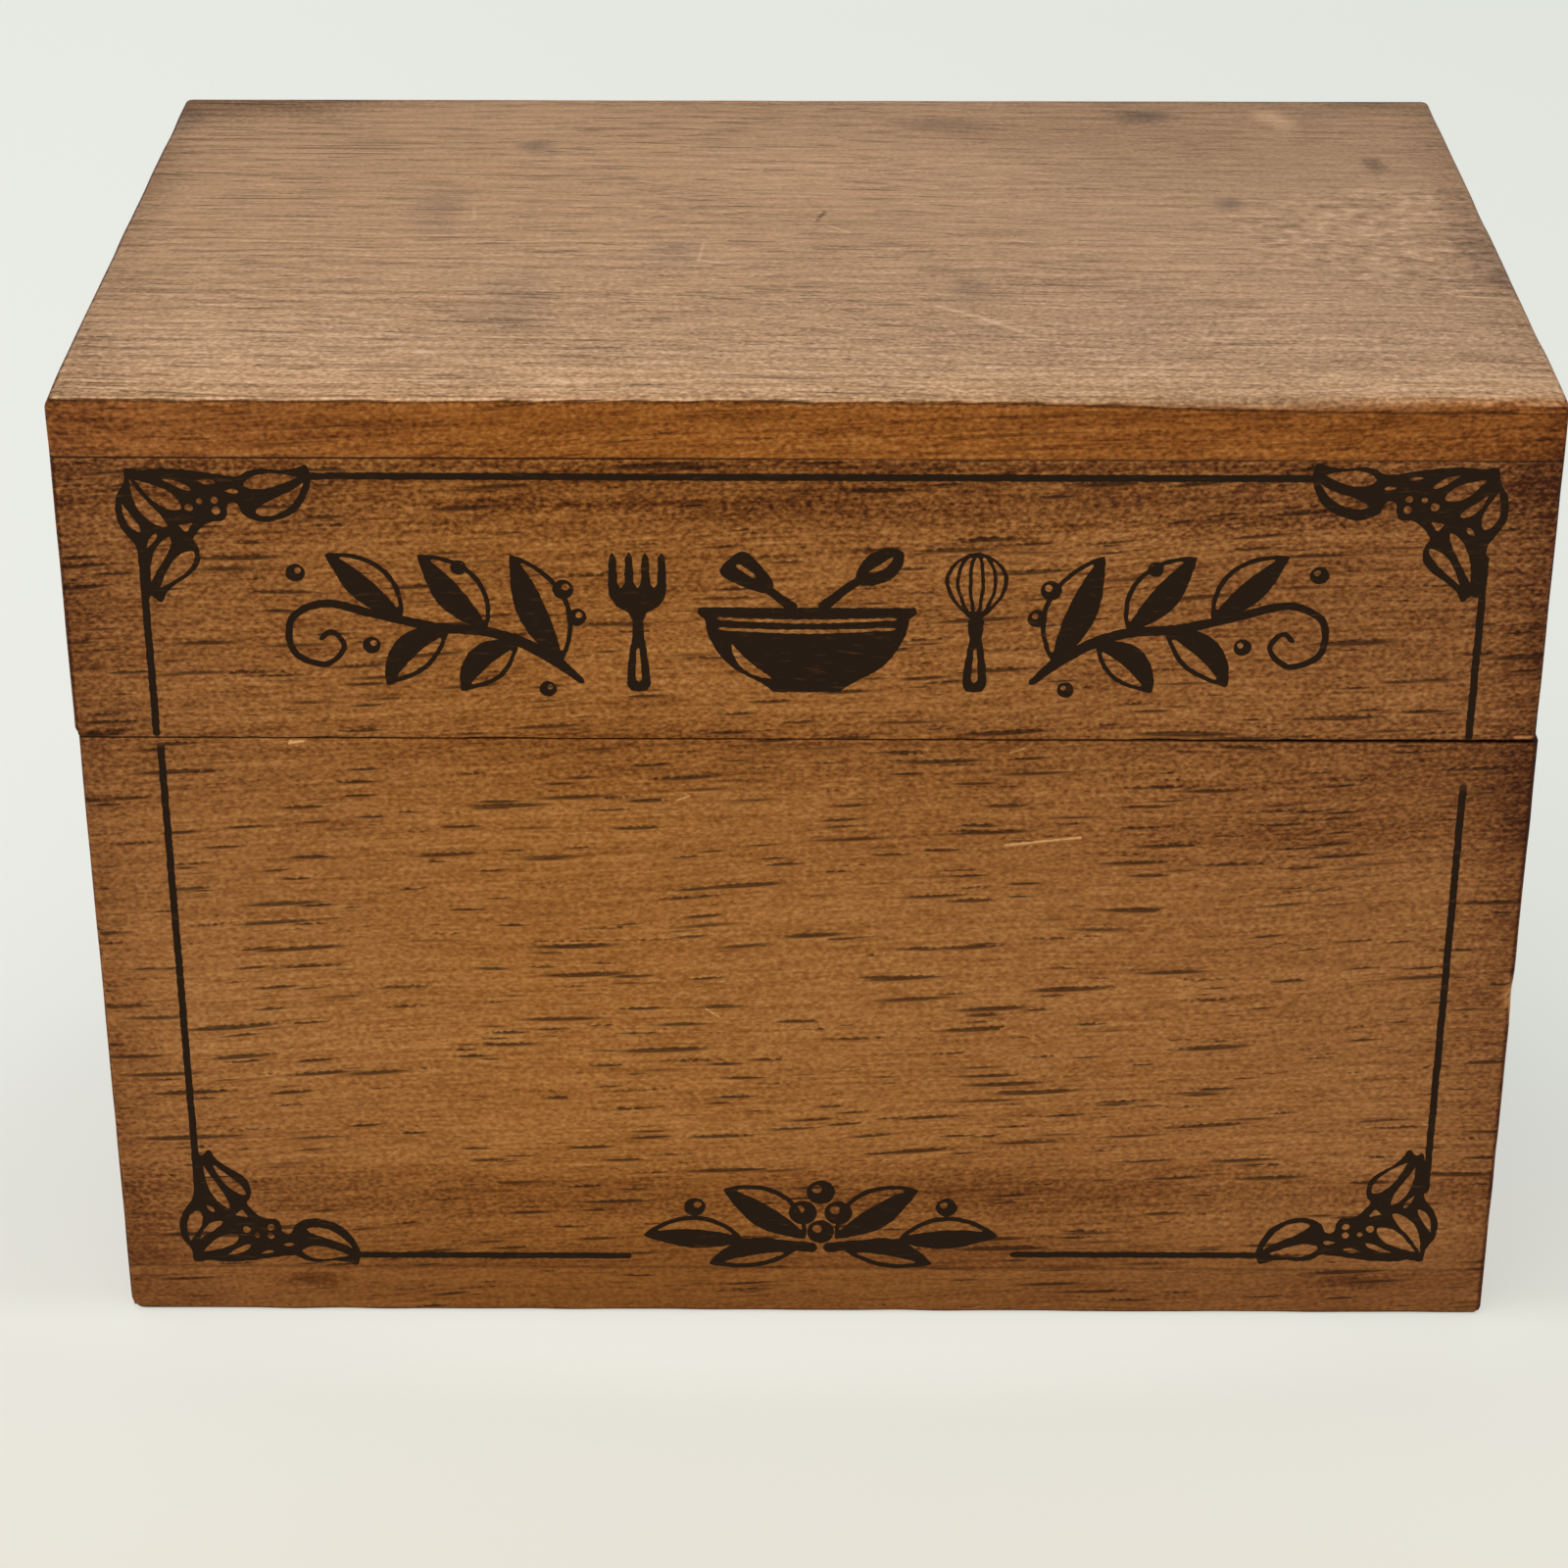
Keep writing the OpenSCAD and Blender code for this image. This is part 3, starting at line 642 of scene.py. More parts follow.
woods = {
    "front": stained_wood("stained_wood_front", 0, (0, 0, 0), FRONT_MARKS, FRONT_SCRATCHES),
    "back": stained_wood("stained_wood_back", 0, (310, 40, 170)),
    "left": stained_wood("stained_wood_left", 90, (120, 260, 60)),
    "right": stained_wood("stained_wood_right", 90, (420, 90, 230)),
    "bottom": stained_wood("stained_wood_bottom", 0, (90, 520, 310), BOTTOM_MARKS),
    "top": stained_wood("faded_and_sheen_wood_top", 2, (250, 130, 90), TOP_MARKS_AND_SHEEN, TOP_SCRATCHES, TOP_SMUDGES, True),
}
print(f"{len(woods)} wood finishes of up to {len(woods['top'].node_tree.nodes)} nodes")

# %% [markdown]
# ## A board as a lattice
#
# A board's skin could be modelled by hand, face by face. Here it is worked out: lines cross the board
# in three directions, close together near the arrises and wider apart between them, and the cells
# between them are wood or air. The skin is every cell side with wood on one side only. That is closed
# by its nature, and an L-shaped board with a rabbet is no harder than a plain one.

# %% Lattice helpers
ARRIS_STEPS_MM = (0.08, 0.18, 0.3, 0.45, 0.62, 0.8, 1.0, 1.25, 1.6)


def lines_between(low, high, step, through=()):
    """Positions from low to high: about step apart, closer near both ends, and on each of through."""
    even = np.linspace(low, high, max(2, int(round((high - low) / step)) + 1))
    inner = even[(even > low + ARRIS_STEPS_MM[-1] + step / 3) & (even < high - ARRIS_STEPS_MM[-1] - step / 3)]
    near = np.array(ARRIS_STEPS_MM)
    near = near[near < (high - low) / 2]
    return np.unique(np.round(np.concatenate([[low, high], low + near, high - near, inner, through]), 4))


def skin(xs, ys, zs, wood):
    """Points and quads of the skin round the wood cells. Along each axis a quad is laid where wood
    begins or ends, and its corners are ordered so that its normal points into the air."""
    solid = np.pad(wood, 1).astype(int)
    shape = np.array([len(xs), len(ys), len(zs)])
    quads = []
    for axis in range(3):
        a, b = [other for other in range(3) if other != axis]
        inner = tuple(slice(None) if k == axis else slice(1, -1) for k in range(3))
        change = np.diff(solid, axis=axis)[inner]
        for sign in (1, -1):
            cell = np.argwhere(change == sign)
            step_a, step_b = np.eye(3, dtype=int)[a], np.eye(3, dtype=int)[b]
            corners = np.stack([cell, cell + step_a, cell + step_a + step_b, cell + step_b], axis=1)
            faces_forward = axis != 1
            if faces_forward == (sign == 1):
                corners = corners[:, ::-1]
            quads.append(np.ravel_multi_index(np.moveaxis(corners, 2, 0), shape))
    quads = np.concatenate(quads)
    used, quads = np.unique(quads, return_inverse=True)
    i, j, k = np.unravel_index(used, shape)
    return np.stack([xs[i], ys[j], zs[k]], axis=1), quads.reshape(-1, 4)


def mesh_object(name, points_mm, faces, material, body):
    """A mesh object in the box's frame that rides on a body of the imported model."""
    mesh = bpy.data.meshes.new(name)
    mesh.from_pydata(np.asarray(points_mm) * MM, [], np.asarray(faces).tolist())
    mesh.validate()
    mesh.materials.append(material)
    made = bpy.data.objects.new(name, mesh)
    bpy.context.scene.collection.objects.link(made)
    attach(made, body)
    return made


# %% [markdown]
# ## Wear
#
# Sanding, handling and knocks take wood off the arrises, never the same amount all along. Easing one
# arris works on depths: a point lies p below one face and q below the other. Inside the square of
# side r at the arris, the square's outline is drawn in to a quarter circle. Rings inside it follow,
# so the skin stays smooth and closed whatever the radius does along the edge.

# %% Easing an arris
SANDED_MM = 0.05


def wobble(s, spacing, seed):
    """A smooth random curve from -1 to 1: random heights spacing apart, joined by 3t^2 - 2t^3."""
    heights = np.random.default_rng(seed).uniform(-1, 1, 1024)
    cell = np.floor(np.asarray(s) / spacing).astype(int)
    t = np.asarray(s) / spacing - cell
    t = t * t * (3 - 2 * t)
    return heights[cell % 1024] * (1 - t) + heights[(cell + 1) % 1024] * t


def bell(s, centre, half):
    """A smooth hump of height 1 at centre: exp(-((s - centre) / half)^2)."""
    return np.exp(-((s - centre) / half) ** 2)


def rise(s, low, high):
    """A smooth step from 0 at low to 1 at high: 3t^2 - 2t^3."""
    t = np.clip((s - low) / (high - low), 0, 1)
    return t * t * (3 - 2 * t)


def ease(points, face_a, face_b, radius, span=None):
    """Rounds the arris where two faces meet. A face is (axis, place, way into the wood). radius is a
    function of the place along the arris, and span limits the easing to a stretch of it."""
    (a, at_a, into_a), (b, at_b, into_b) = face_a, face_b
    along = points[:, 3 - a - b]
    r = radius(along)
    p, q = (points[:, a] - at_a) * into_a, (points[:, b] - at_b) * into_b
    near = (p > -0.1) & (q > -0.1) & (p < r) & (q < r)
    if span is not None:
        near &= (along > span[0] - 0.01) & (along < span[1] + 0.01)
    u, v = p - r, q - r
    pull = np.where(near, np.maximum(abs(u), abs(v)) / np.maximum(np.hypot(u, v), 1e-9) - 1, 0)
    points[:, a] += u * pull * into_a
    points[:, b] += v * pull * into_b


def wear(points, part):
    """The points of a board of the lid or the base after years of use, as a new array."""
    points = points.copy()
    left, right = SHIFT[part] - HALF_W, SHIFT[part] + HALF_W
    x_low, x_high = (0, left, 1), (0, right, -1)
    y_low, y_high = (1, FRONT_Y, 1), (1, BACK_Y, -1)
    if part == "lid":
        end, rim, seed = (2, TOP_Z, -1), (2, LID_RIM_Z, 1), 10
        front_r = lambda x: 0.34 + 0.2 * rise(x, -40, 0) + 0.9 * rise(x, 15, 60) + 0.1 * wobble(x, 3, 1)
        corner_r = lambda y: 0.16 + 0.8 * bell(y, FRONT_Y, 4)
        rim_r = lambda x: 0.12 + 0.2 * rise(x, 20, 60)
    else:
        end, rim, seed = (2, 0.0, 1), (2, BASE_RIM_Z, -1), 40
        front_r = lambda x: 0.7 + 0.15 * wobble(x, 5, 2)
        corner_r = lambda y: 0.16 + 0.06 * wobble(y, 4, 3)
        rim_r = lambda x: 0.12 + 0.06 * rise(x, 20, 60)
    chip = lambda z: 0.6 * bell(z, 39.8, 1.6) + 0.3 * bell(z, 37.4, 0.6)
    ease(points, y_low, end, front_r)
    ease(points, y_high, end, lambda x: 0.95 + 0.05 * wobble(x, 9, seed))
    for face, number, blunt in ((x_low, 1, 0.5), (x_high, 2, 0.0)):
        ease(points, face, end, lambda y: 0.9 + 0.15 * wobble(y, 7, seed + number) + blunt * bell(y, FRONT_Y, 5))
    ease(points, x_low, y_low, lambda z: 0.8 + 0.14 * wobble(z, 4, seed + 3))
    ease(points, x_high, y_low, lambda z: 0.8 + 0.16 * wobble(z, 4, seed + 4) + chip(z))
    for face in (x_low, x_high):
        ease(points, face, y_high, lambda z: np.full_like(z, 1.0))
    tears = lambda s: 0.07 * wobble(s, 1.2, seed + 5) + 0.6 * np.clip(wobble(s, 2.4, seed + 6) - 0.5, 0, 1)
    ease(points, y_low, rim, lambda x: rim_r(x) + tears(x))
    ease(points, x_low, rim, corner_r)
    ease(points, x_high, rim, lambda y: 0.14 + tears(y))
    inner_x, inner_y = HALF_W - WALL_T, FRONT_Y + WALL_T
    soft = lambda s: 0.25 + 0.05 * wobble(s, 6, seed + 7)
    ease(points, (1, inner_y, -1), rim, soft, (SHIFT[part] - inner_x, SHIFT[part] + inner_x))
    for side in (-1, 1):
        ease(points, (0, SHIFT[part] + side * inner_x, side), rim, soft, (inner_y, -inner_y))

    # Sanding took a hair off the outside: the skin moves in, and the shift dies out 3 mm down
    for axis, face in ((0, left), (0, right), (1, FRONT_Y)):
        into = 1 if face < 0 else -1
        depth = (points[:, axis] - face) * into
        points[:, axis] += into * SANDED_MM * np.clip(1 - depth / 3, 0, 1)
    return points


# %% [markdown]
# ## The top board's face
#
# The top has been knocked and wetted. Its face is a height that depends on x and y: a slow swell,
# short ripples round a bruise near the right edge, and two shallow scratches. All of it goes down
# from the sawn height, so the box stays inside its true size.

# %% Height of the top face
BRUISE_AT, BRUISE_HALF = (65.0, -4.0), (8.0, 15.0)
SCRATCHES = (((12.0, -24.5), (20.5, -29.0), 0.05), ((-52.0, -30.0), (-40.0, -31.5), 0.03))


def top_sink(x, y):
    """How far the top face lies below the sawn height, in millimetres: 0.06 plus a swell, plus
    ripples times an ellipse of 1 - (distance)^2 round the bruise, plus a groove along each scratch."""
    sink = 0.06 + 0.02 * wobble(x + 0.4 * y, 24, 5) + 0.02 * wobble(y - 0.3 * x, 18, 6)
    u, v = (x - BRUISE_AT[0]) / BRUISE_HALF[0], (y - BRUISE_AT[1]) / BRUISE_HALF[1]
    mask = np.clip(1 - u * u - v * v, 0, 1)
    ripple = wobble(x * 0.9 + y * 0.5, 1.6, 7) + wobble(y - 0.6 * x, 1.9, 8)
    sink = sink + mask * (0.08 + 0.08 * ripple)
    for (x0, y0), (x1, y1), depth in SCRATCHES:
        length = math.hypot(x1 - x0, y1 - y0)
        t = np.clip(((x - x0) * (x1 - x0) + (y - y0) * (y1 - y0)) / length ** 2, 0, 1)
        off = np.hypot(x - x0 - t * (x1 - x0), y - y0 - t * (y1 - y0))
        sink = sink + depth * np.clip(1 - off / 0.9, 0, 1)
    return np.clip(sink, 0.005, None)


# %% [markdown]
# ## Eight worn boards
#
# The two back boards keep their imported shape, because their groove and the mortises of the hinges
# matter more than wear there. The other eight are made again as worn lattices. The front boards are
# wide outside and narrower inside, where the side boards meet them, so a cell is wood where it lies
# in the lap or between the side boards.

# %% Make the boards
LATTICE_MM = {"front": (0.55, 0.9, 0.9), "side": (1.6, 0.9, 0.9), "flat": (0.75, 0.75, 1.2)}


def worn_board(name, kind, part, wood):
    """Builds one board over its packed box, wears it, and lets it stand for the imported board."""
    low, high = box_mm(name)
    low_x, high_x = SHIFT[part] + np.array([-1, 1]) * (HALF_W - WALL_T)
    through = {"front": ([low_x, high_x], [LAP_Y], []), "side": ([], [], []), "flat": ([], [], [])}[kind]
    xs, ys, zs = (lines_between(low[k], high[k], LATTICE_MM[kind][k], through[k]) for k in range(3))
    mid_x, mid_y, _ = np.meshgrid(*[(line[1:] + line[:-1]) / 2 for line in (xs, ys, zs)], indexing="ij")
    is_wood = np.ones(mid_x.shape, bool)
    if kind == "front":
        is_wood = (mid_y < LAP_Y) | ((mid_x > low_x) & (mid_x < high_x))
    points, quads = skin(xs, ys, zs, is_wood)
    worn = wear(points, part)
    if name == "top_board":
        under_top = np.clip((worn[:, 2] - TOP_JOINT_Z) / (TOP_Z - TOP_JOINT_Z), 0, 1)
        worn[:, 2] -= under_top * top_sink(worn[:, 0], worn[:, 1])
    made = mesh_object("worn_" + name, worn, quads, woods[wood], part)
    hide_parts(name)
    made.data.shade_smooth()
    made.data.set_sharp_from_angle(angle=math.radians(35))
    print(f"worn_{name}: {2 * len(quads)} triangles")
    return made


for part in ("lid", "base"):
    worn_board(f"{part}_front_board", "front", part, "front")
    for side in ("left", "right"):
        worn_board(f"{part}_{side}_board", "side", part, side)
worn_board("top_board", "flat", "lid", "top")
worn_board("bottom_board", "flat", "base", "bottom")
for part in ("lid", "base"):
    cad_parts[f"{part}_back_board"].data.materials.clear()
    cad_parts[f"{part}_back_board"].data.materials.append(woods["back"])

# %% [markdown]
# ## Ink
#
# The front is screen printed in near-black ink. It could be painted into the wood's material, but a
# film of its own keeps crisp borders at any distance and shows as geometry in the exported model.
# Each shape is a closed outline on the front, with holes where the wood shows through. The outline
# is filled with triangles, given a back 0.05 mm behind it, and joined by a wall round its rim.
#
# Ink creeps along the fibres as it dries, so every outline is nudged by a small random field.

# %% Outlines
PRINT_STEP_MM = 0.28
CREEP_MM = 0.05
FILM_MM = 0.015


def resample(points, spacing, closed=True):
    """Points evenly spaced along a polyline, by its running length."""
    loop = np.vstack([points, points[:1]]) if closed else np.asarray(points, float)
    run = np.concatenate([[0], np.cumsum(np.linalg.norm(np.diff(loop, axis=0), axis=1))])
    at = np.linspace(0, run[-1], max(10, int(run[-1] / spacing)), endpoint=not closed)
    return np.stack([np.interp(at, run, loop[:, k]) for k in (0, 1)], axis=1)


def smooth(points, closed=True):
    """A Catmull-Rom curve through the points. Between b and c, with a before and d after, it is
    (2b + (c - a) t + (2a - 5b + 4c - d) t^2 + (3b - a - 3c + d) t^3) / 2."""
    given = np.asarray(points, float)
    if closed:
        a, b, c, d = (np.roll(given, shift, axis=0) for shift in (1, 0, -1, -2))
    else:
        ends = np.vstack([2 * given[0] - given[1], given, 2 * given[-1] - given[-2]])
        a, b, c, d = ends[:-3], ends[1:-2], ends[2:-1], ends[3:]
    t = np.linspace(0, 1, 12, endpoint=False)[None, :, None]
    a, b, c, d = (side[:, None] for side in (a, b, c, d))
    curve = (2 * b + (c - a) * t + (2 * a - 5 * b + 4 * c - d) * t ** 2 + (3 * b - a - 3 * c + d) * t ** 3) / 2
    curve = curve.reshape(-1, 2)
    return curve if closed else np.vstack([curve, given[-1:]])


def across(line):
    """Unit vectors to the left of a line, at each of its points."""
    way = np.gradient(line, axis=0)
    way /= np.maximum(np.linalg.norm(way, axis=1), 1e-9)[:, None]
    return np.stack([-way[:, 1], way[:, 0]], axis=1)


def stroke(points, widths):
    """Outline of a pen stroke along a smooth line. Its width runs through widths, and each end is
    round: within half a width w of the end it shrinks by sqrt(1 - (1 - s / w)^2)."""
    line = resample(smooth(points, closed=False), PRINT_STEP_MM, closed=False)
    run = np.linspace(0, 1, len(line))
    half = np.interp(run, np.linspace(0, 1, len(widths)), widths) / 2
    length = np.linalg.norm(np.diff(line, axis=0), axis=1).sum()
    to_end = np.minimum(run, 1 - run) * length
    half = half * np.sqrt(1 - (1 - np.clip(to_end / np.maximum(half, 1e-6), 0, 1)) ** 2)
    offset = across(line) * half[:, None]
    return np.vstack([line + offset, (line - offset)[-2:0:-1]])


def petal(root, tip, width, bow=0.0, blunt=1.5, point=0.62):
    """Outline of a petal from root to tip. At t along it the half width is
    width / 2 * sin(pi t^blunt)^point, and the midline leaves the chord by 4 bow t (1 - t)."""
    midline, half = petal_lines(root, tip, width, bow, blunt, point)
    offset = across(midline) * half[:, None]
    return np.vstack([midline + offset, (midline - offset)[-2:0:-1]])


def petal_lines(root, tip, width, bow, blunt, point):
    """The bent midline of a petal and its half width at each point."""
    t = np.linspace(0, 1, 40)
    chord = np.subtract(tip, root)
    side = np.array([-chord[1], chord[0]]) / np.hypot(*chord)
    midline = np.add(root, t[:, None] * chord) + (4 * bow * t * (1 - t))[:, None] * side
    return midline, width / 2 * np.sin(np.pi * t ** blunt) ** point


def disc(centre, radius):
    """A circle as an outline."""
    turn = np.linspace(0, 2 * np.pi, 24, endpoint=False)
    return np.add(centre, radius * np.stack([np.cos(turn), np.sin(turn)], axis=1))


def leaf(root, tip, width, bow=0.0, rim=0.5, vein=0.6, open_sides=(-1, 1)):
    """A leaf with an inked rim and vein: its outline, and a hole on each open side of the vein."""
    midline, half = petal_lines(root, tip, width, bow, 0.95, 0.85)
    side = across(midline)
    open_part = half - rim > vein / 2 + 0.12
    middle, half, side = midline[open_part], half[open_part, None], side[open_part]
    holes = [np.vstack([middle + way * side * (half - rim), (middle + way * side * vein / 2)[::-1]])
             for way in open_sides]
    return petal(root, tip, width, bow, 0.95, 0.85), holes


def berry(centre, radius):
    """A berry: a disc with a small bright spot, a little above and to the left of its middle."""
    return disc(centre, radius), [disc(np.add(centre, (-0.25 * radius, 0.25 * radius)), radius * 0.36)]


def mirrored(half):
    """A closed outline from its right half, given from the bottom up."""
    half = np.asarray(half, float)
    return np.vstack([half, (half * [-1, 1])[::-1]])


# %% From outlines to a film on the wood
def signed_area(outline):
    """Area inside an outline, positive where it runs anticlockwise."""
    x, z = outline[:, 0], outline[:, 1]
    return (x * np.roll(z, -1) - z * np.roll(x, -1)).sum() / 2


def creep(outline):
    """The outline after the ink has crept: each point moves by a random field of its place."""
    x, z = outline[:, 0], outline[:, 1]
    return outline + CREEP_MM * np.stack([wobble(x + 1.7 * z, 0.7, 21), wobble(z - 1.3 * x, 0.5, 22)], axis=1)


def film(shapes, part):
    """Points and triangles of the ink for shapes, each an outline with its holes. The film's face
    stands FILM_MM off the wood, and its back is sunk in it. Neighbours in the list stand a little
    apart in height, so that where two cross one of them clearly lies on top."""
    points, faces, start = [], [], 0
    for number, (outline, holes) in enumerate(shapes):
        lift = FILM_MM * (1 + number / len(shapes))
        rings = [creep(resample(ring, PRINT_STEP_MM)) for ring in (outline, *holes)]
        rings = [ring if (signed_area(ring) > 0) == (k == 0) else ring[::-1]
                 for k, ring in enumerate(rings)]
        flat = np.vstack(rings)
        count = len(flat)
        fill = geometry.tessellate_polygon([[Vector((*point, 0)) for point in ring] for ring in rings])
        fill = np.array(fill)
        a, b, c = (flat[fill[:, k]] for k in range(3))
        turned = (b[:, 0] - a[:, 0]) * (c[:, 1] - a[:, 1]) - (b[:, 1] - a[:, 1]) * (c[:, 0] - a[:, 0]) < 0
        fill[turned] = fill[turned][:, ::-1]
        ends = np.cumsum([0] + [len(ring) for ring in rings])
        here = np.arange(count)
        after = np.concatenate([np.roll(here[ends[k]:ends[k + 1]], -1) for k in range(len(rings))])
        walls = np.vstack([np.stack([here, here + count, after + count], 1),
                           np.stack([here, after + count, after], 1)])
        for depth in (-lift, 0.03):
            points.append(np.stack([flat[:, 0], np.full(count, FRONT_Y + depth), flat[:, 1]], axis=1))
        faces.append(np.vstack([fill, fill[:, ::-1] + count, walls]) + start)
        start += 2 * count
    points = np.vstack(points)
    points[:, 0] += SHIFT[part]
    return wear(points, part), np.vstack(faces)


# %% [markdown]
# ## Border and corners
#
# A single line runs round the front, and leafy corners with a few berries sit on it. The artist drew
# one corner by hand and turned it over for the next, so two of the four have rounder petals than the
# other two. Here u runs in along the level line and v along the upright one, in millimetres. The
# outline is shared, and each kind of corner has its own list of bare petals inside it.

# %% The corner ornament
LINE_MM = 0.74
TOP_LINE_Z, LEFT_LINE_Z, RIGHT_LINE_Z = 97.72, 7.3, 7.64
LINE_X = {"lid": (-64.7, 66.15), "base": (-64.7, 65.75)}
GAP_LEFT_X, GAP_RIGHT_X = -18.65, 21.8
LEAF_REACH_U, LEAF_REACH_V = 15.9, 8.0
CORNER_OUTLINE = (
    (-1.4, -0.3), (-1.35, -0.75), (-0.9, -0.95), (-0.2, -0.8), (0.6, -0.75), (2.0, -0.95), (4.3, -0.85),
    (6.6, -0.5), (8.6, -0.2), (9.7, -0.15), (10.5, -0.65), (11.8, -0.95), (13.6, -0.8), (15.0, -0.95),
    (16.1, -1.35), (16.45, -0.8), (16.6, 0.3), (16.2, 1.6), (15.5, 2.9), (14.5, 3.8), (13.2, 4.4),
    (11.9, 4.65), (10.7, 4.4), (9.8, 3.8), (9.4, 2.9), (8.9, 2.6), (8.35, 3.0), (8.25, 3.9), (7.8, 4.55),
    (6.8, 4.65), (6.0, 5.0), (5.2, 5.9), (4.8, 6.6), (5.15, 7.2), (5.35, 8.2), (5.1, 9.3), (4.2, 10.3),
    (2.9, 11.2), (1.85, 12.2), (1.35, 13.2), (0.95, 13.2), (0.65, 12.8), (0.3, 12.6), (-0.3, 12.8), (-0.65, 11.4),
    (-0.7, 10.0),
    (-0.75, 8.3), (-0.95, 7.1), (-1.6, 6.2), (-2.15, 5.3), (-2.5, 4.3), (-2.55, 3.1), (-2.3, 1.9),
    (-1.75, 1.0), (-1.5, 0.4),
)
SLIM_PETALS = (
    ((-0.45, 0.3), (3.85, 3.3), 1.7, 0.0), ((-0.95, 0.2), (2.4, 5.2), 1.3, 0.6),
    ((-1.9, 2.8), (-0.3, 5.75), 0.8, 0.2), ((2.1, 0.15), (5.0, 1.4), 0.6, -0.1),
    ((5.3, 0.3), (7.35, 0.55), 0.55, 0.0), ((8.15, 1.4), (9.55, 1.5), 0.5, 0.0),
    ((15.4, -0.05), (10.0, 0.8), 1.5, 0.1), ((15.9, 0.45), (11.0, 3.7), 1.5, -0.6),
    ((0.35, 11.1), (2.6, 6.3), 1.15, -0.3), ((1.2, 11.7), (4.75, 7.8), 1.6, 0.0),
    ((0.15, 7.5), (1.25, 5.9), 0.5, 0.0),
)
ROUND_PETALS = (
    ((-0.2, 0.35), (3.7, 2.4), 1.45, 0.1), ((-0.5, 1.9), (2.1, 4.2), 0.85, 0.3),
    ((-1.5, 1.7), (-0.4, 5.6), 1.5, 0.1), ((2.3, -0.1), (4.9, 1.3), 0.65, -0.1),
    ((5.9, 0.15), (7.3, 0.4), 0.4, 0.0), ((8.4, 1.25), (9.6, 1.3), 0.45, 0.0),
    ((15.4, -0.1), (10.4, 0.5), 1.6, 0.0), ((15.8, 0.8), (11.0, 3.2), 1.1, -0.5),
    ((0.5, 11.3), (2.9, 5.9), 1.1, -0.3), ((1.5, 11.5), (4.8, 7.6), 1.1, -0.2),
    ((0.5, 6.3), (1.3, 5.4), 0.5, 0.0),
)
CORNER_BERRIES = ((4.6, 3.2, 0.44), (5.65, 2.5, 0.32), (7.15, 2.4, 0.38), (7.2, 3.5, 0.42))
CORNER_NOTCH = ((3.5, 5.05), (4.9, 4.75), (4.2, 5.85))


def corner_shape(corner_x, corner_z, in_x, in_z, petals):
    """The ornament in one corner: in_x and in_z, 1 or -1, say which way the box's middle lies."""
    to_front = lambda ring: np.array([corner_x, corner_z]) + np.asarray(ring) * [in_x, in_z]
    eyes = [petal(root, tip, 1.04 * width, bow) for root, tip, width, bow in petals]
    eyes += [disc((u, v), radius) for u, v, radius in CORNER_BERRIES]
    eyes.append(smooth(resample(np.array(CORNER_NOTCH), 0.5)))
    return to_front(smooth(CORNER_OUTLINE)), [to_front(eye) for eye in eyes]


def border_line(start, end):
    """A straight printed line."""
    return stroke([start, np.add(start, end) / 2, end], (LINE_MM, LINE_MM, LINE_MM)), []


# %% [markdown]
# ## The frieze
#
# Across the lid runs a frieze of kitchen things: a mixing bowl with a spatula and a spoon in the
# middle, a fork and a whisk beside it, and a leafy scroll out to each side. Its blacks are as heavy
# as the corners': a leaf is solid on one side of its vein and bare on the other.

# %% Parts of the frieze
FRIEZE_X, FRIEZE_Z = 0.15, 82.2
HANDLE_HALF = [(0, -7.5), (0.8, -7.4), (1.2, -6.7), (1.05, -4.6), (0.6, -1.6), (0.5, 0.2)]


def moved(shapes, x, z, mirror=1):
    """Shapes drawn round (0, 0), moved to (x, z), and mirrored in x if mirror is -1."""
    there = lambda ring: np.asarray(ring) * [mirror, 1] + [x, z]
    return [(there(outline), [there(hole) for hole in holes]) for outline, holes in shapes]


def mixing_bowl():
    """A bowl on a foot, seen from the side, with two bands of bare wood and a highlight."""
    wall = resample(smooth([(3.3, -7.5), (4.4, -6.6), (7.6, -4.6), (9.5, -1.8), (10.1, 0.5)], closed=False),
                    0.4, closed=False)
    body = mirrored(np.vstack([[(0, -7.5)], wall, [(10.7, 1.0), (10.7, 1.7), (0, 1.7)]]))
    bands = [stroke([(-8.9 + inset, z), (0, z - 0.3), (8.9 - inset, z)], (0.3, 0.45, 0.3))
             for z, inset in ((0.5, 0.0), (-0.6, 0.1))]
    shine = petal((-7.4, -2.2), (-3.4, -6.0), 1.0, bow=-0.7, blunt=1, point=0.8)
    return [(body, [*bands, shine])]


def whisk():
    """A balloon whisk, upright: a handle, and a cage of wires. A wire's x is its share of the cage's half
    width at that height, and the bare gaps lie between neighbouring wires."""
    midline, half = petal_lines((0, 0.2), (0, 7.7), 6.2, 0.0, 1.3, 0.6)
    wires = np.linspace(-1, 1, 6)
    gaps = []
    for number, (left, right) in enumerate(zip(wires[:-1], wires[1:])):
        wire_left, wire_right = (0.42 if number == 0 else 0.18), (0.42 if number == 4 else 0.18)
        open_part = (right - left) * half > wire_left + wire_right + 0.14
        z, wide = midline[open_part, 1], half[open_part]
        gaps.append(np.vstack([np.stack([left * wide + wire_left, z], axis=1),
                               np.stack([right * wide - wire_right, z], axis=1)[::-1]]))
    collar = [(0.75, -0.6), (0.8, 0.4), (0.0, 0.6)]
    return [(mirrored(HANDLE_HALF[:-1] + collar), [stroke([(0, -6.5), (0, -2.6)], (0.7, 0.3))]),
            (petal((0, 0.2), (0, 7.7), 6.2, 0.0, 1.3, 0.6), gaps)]


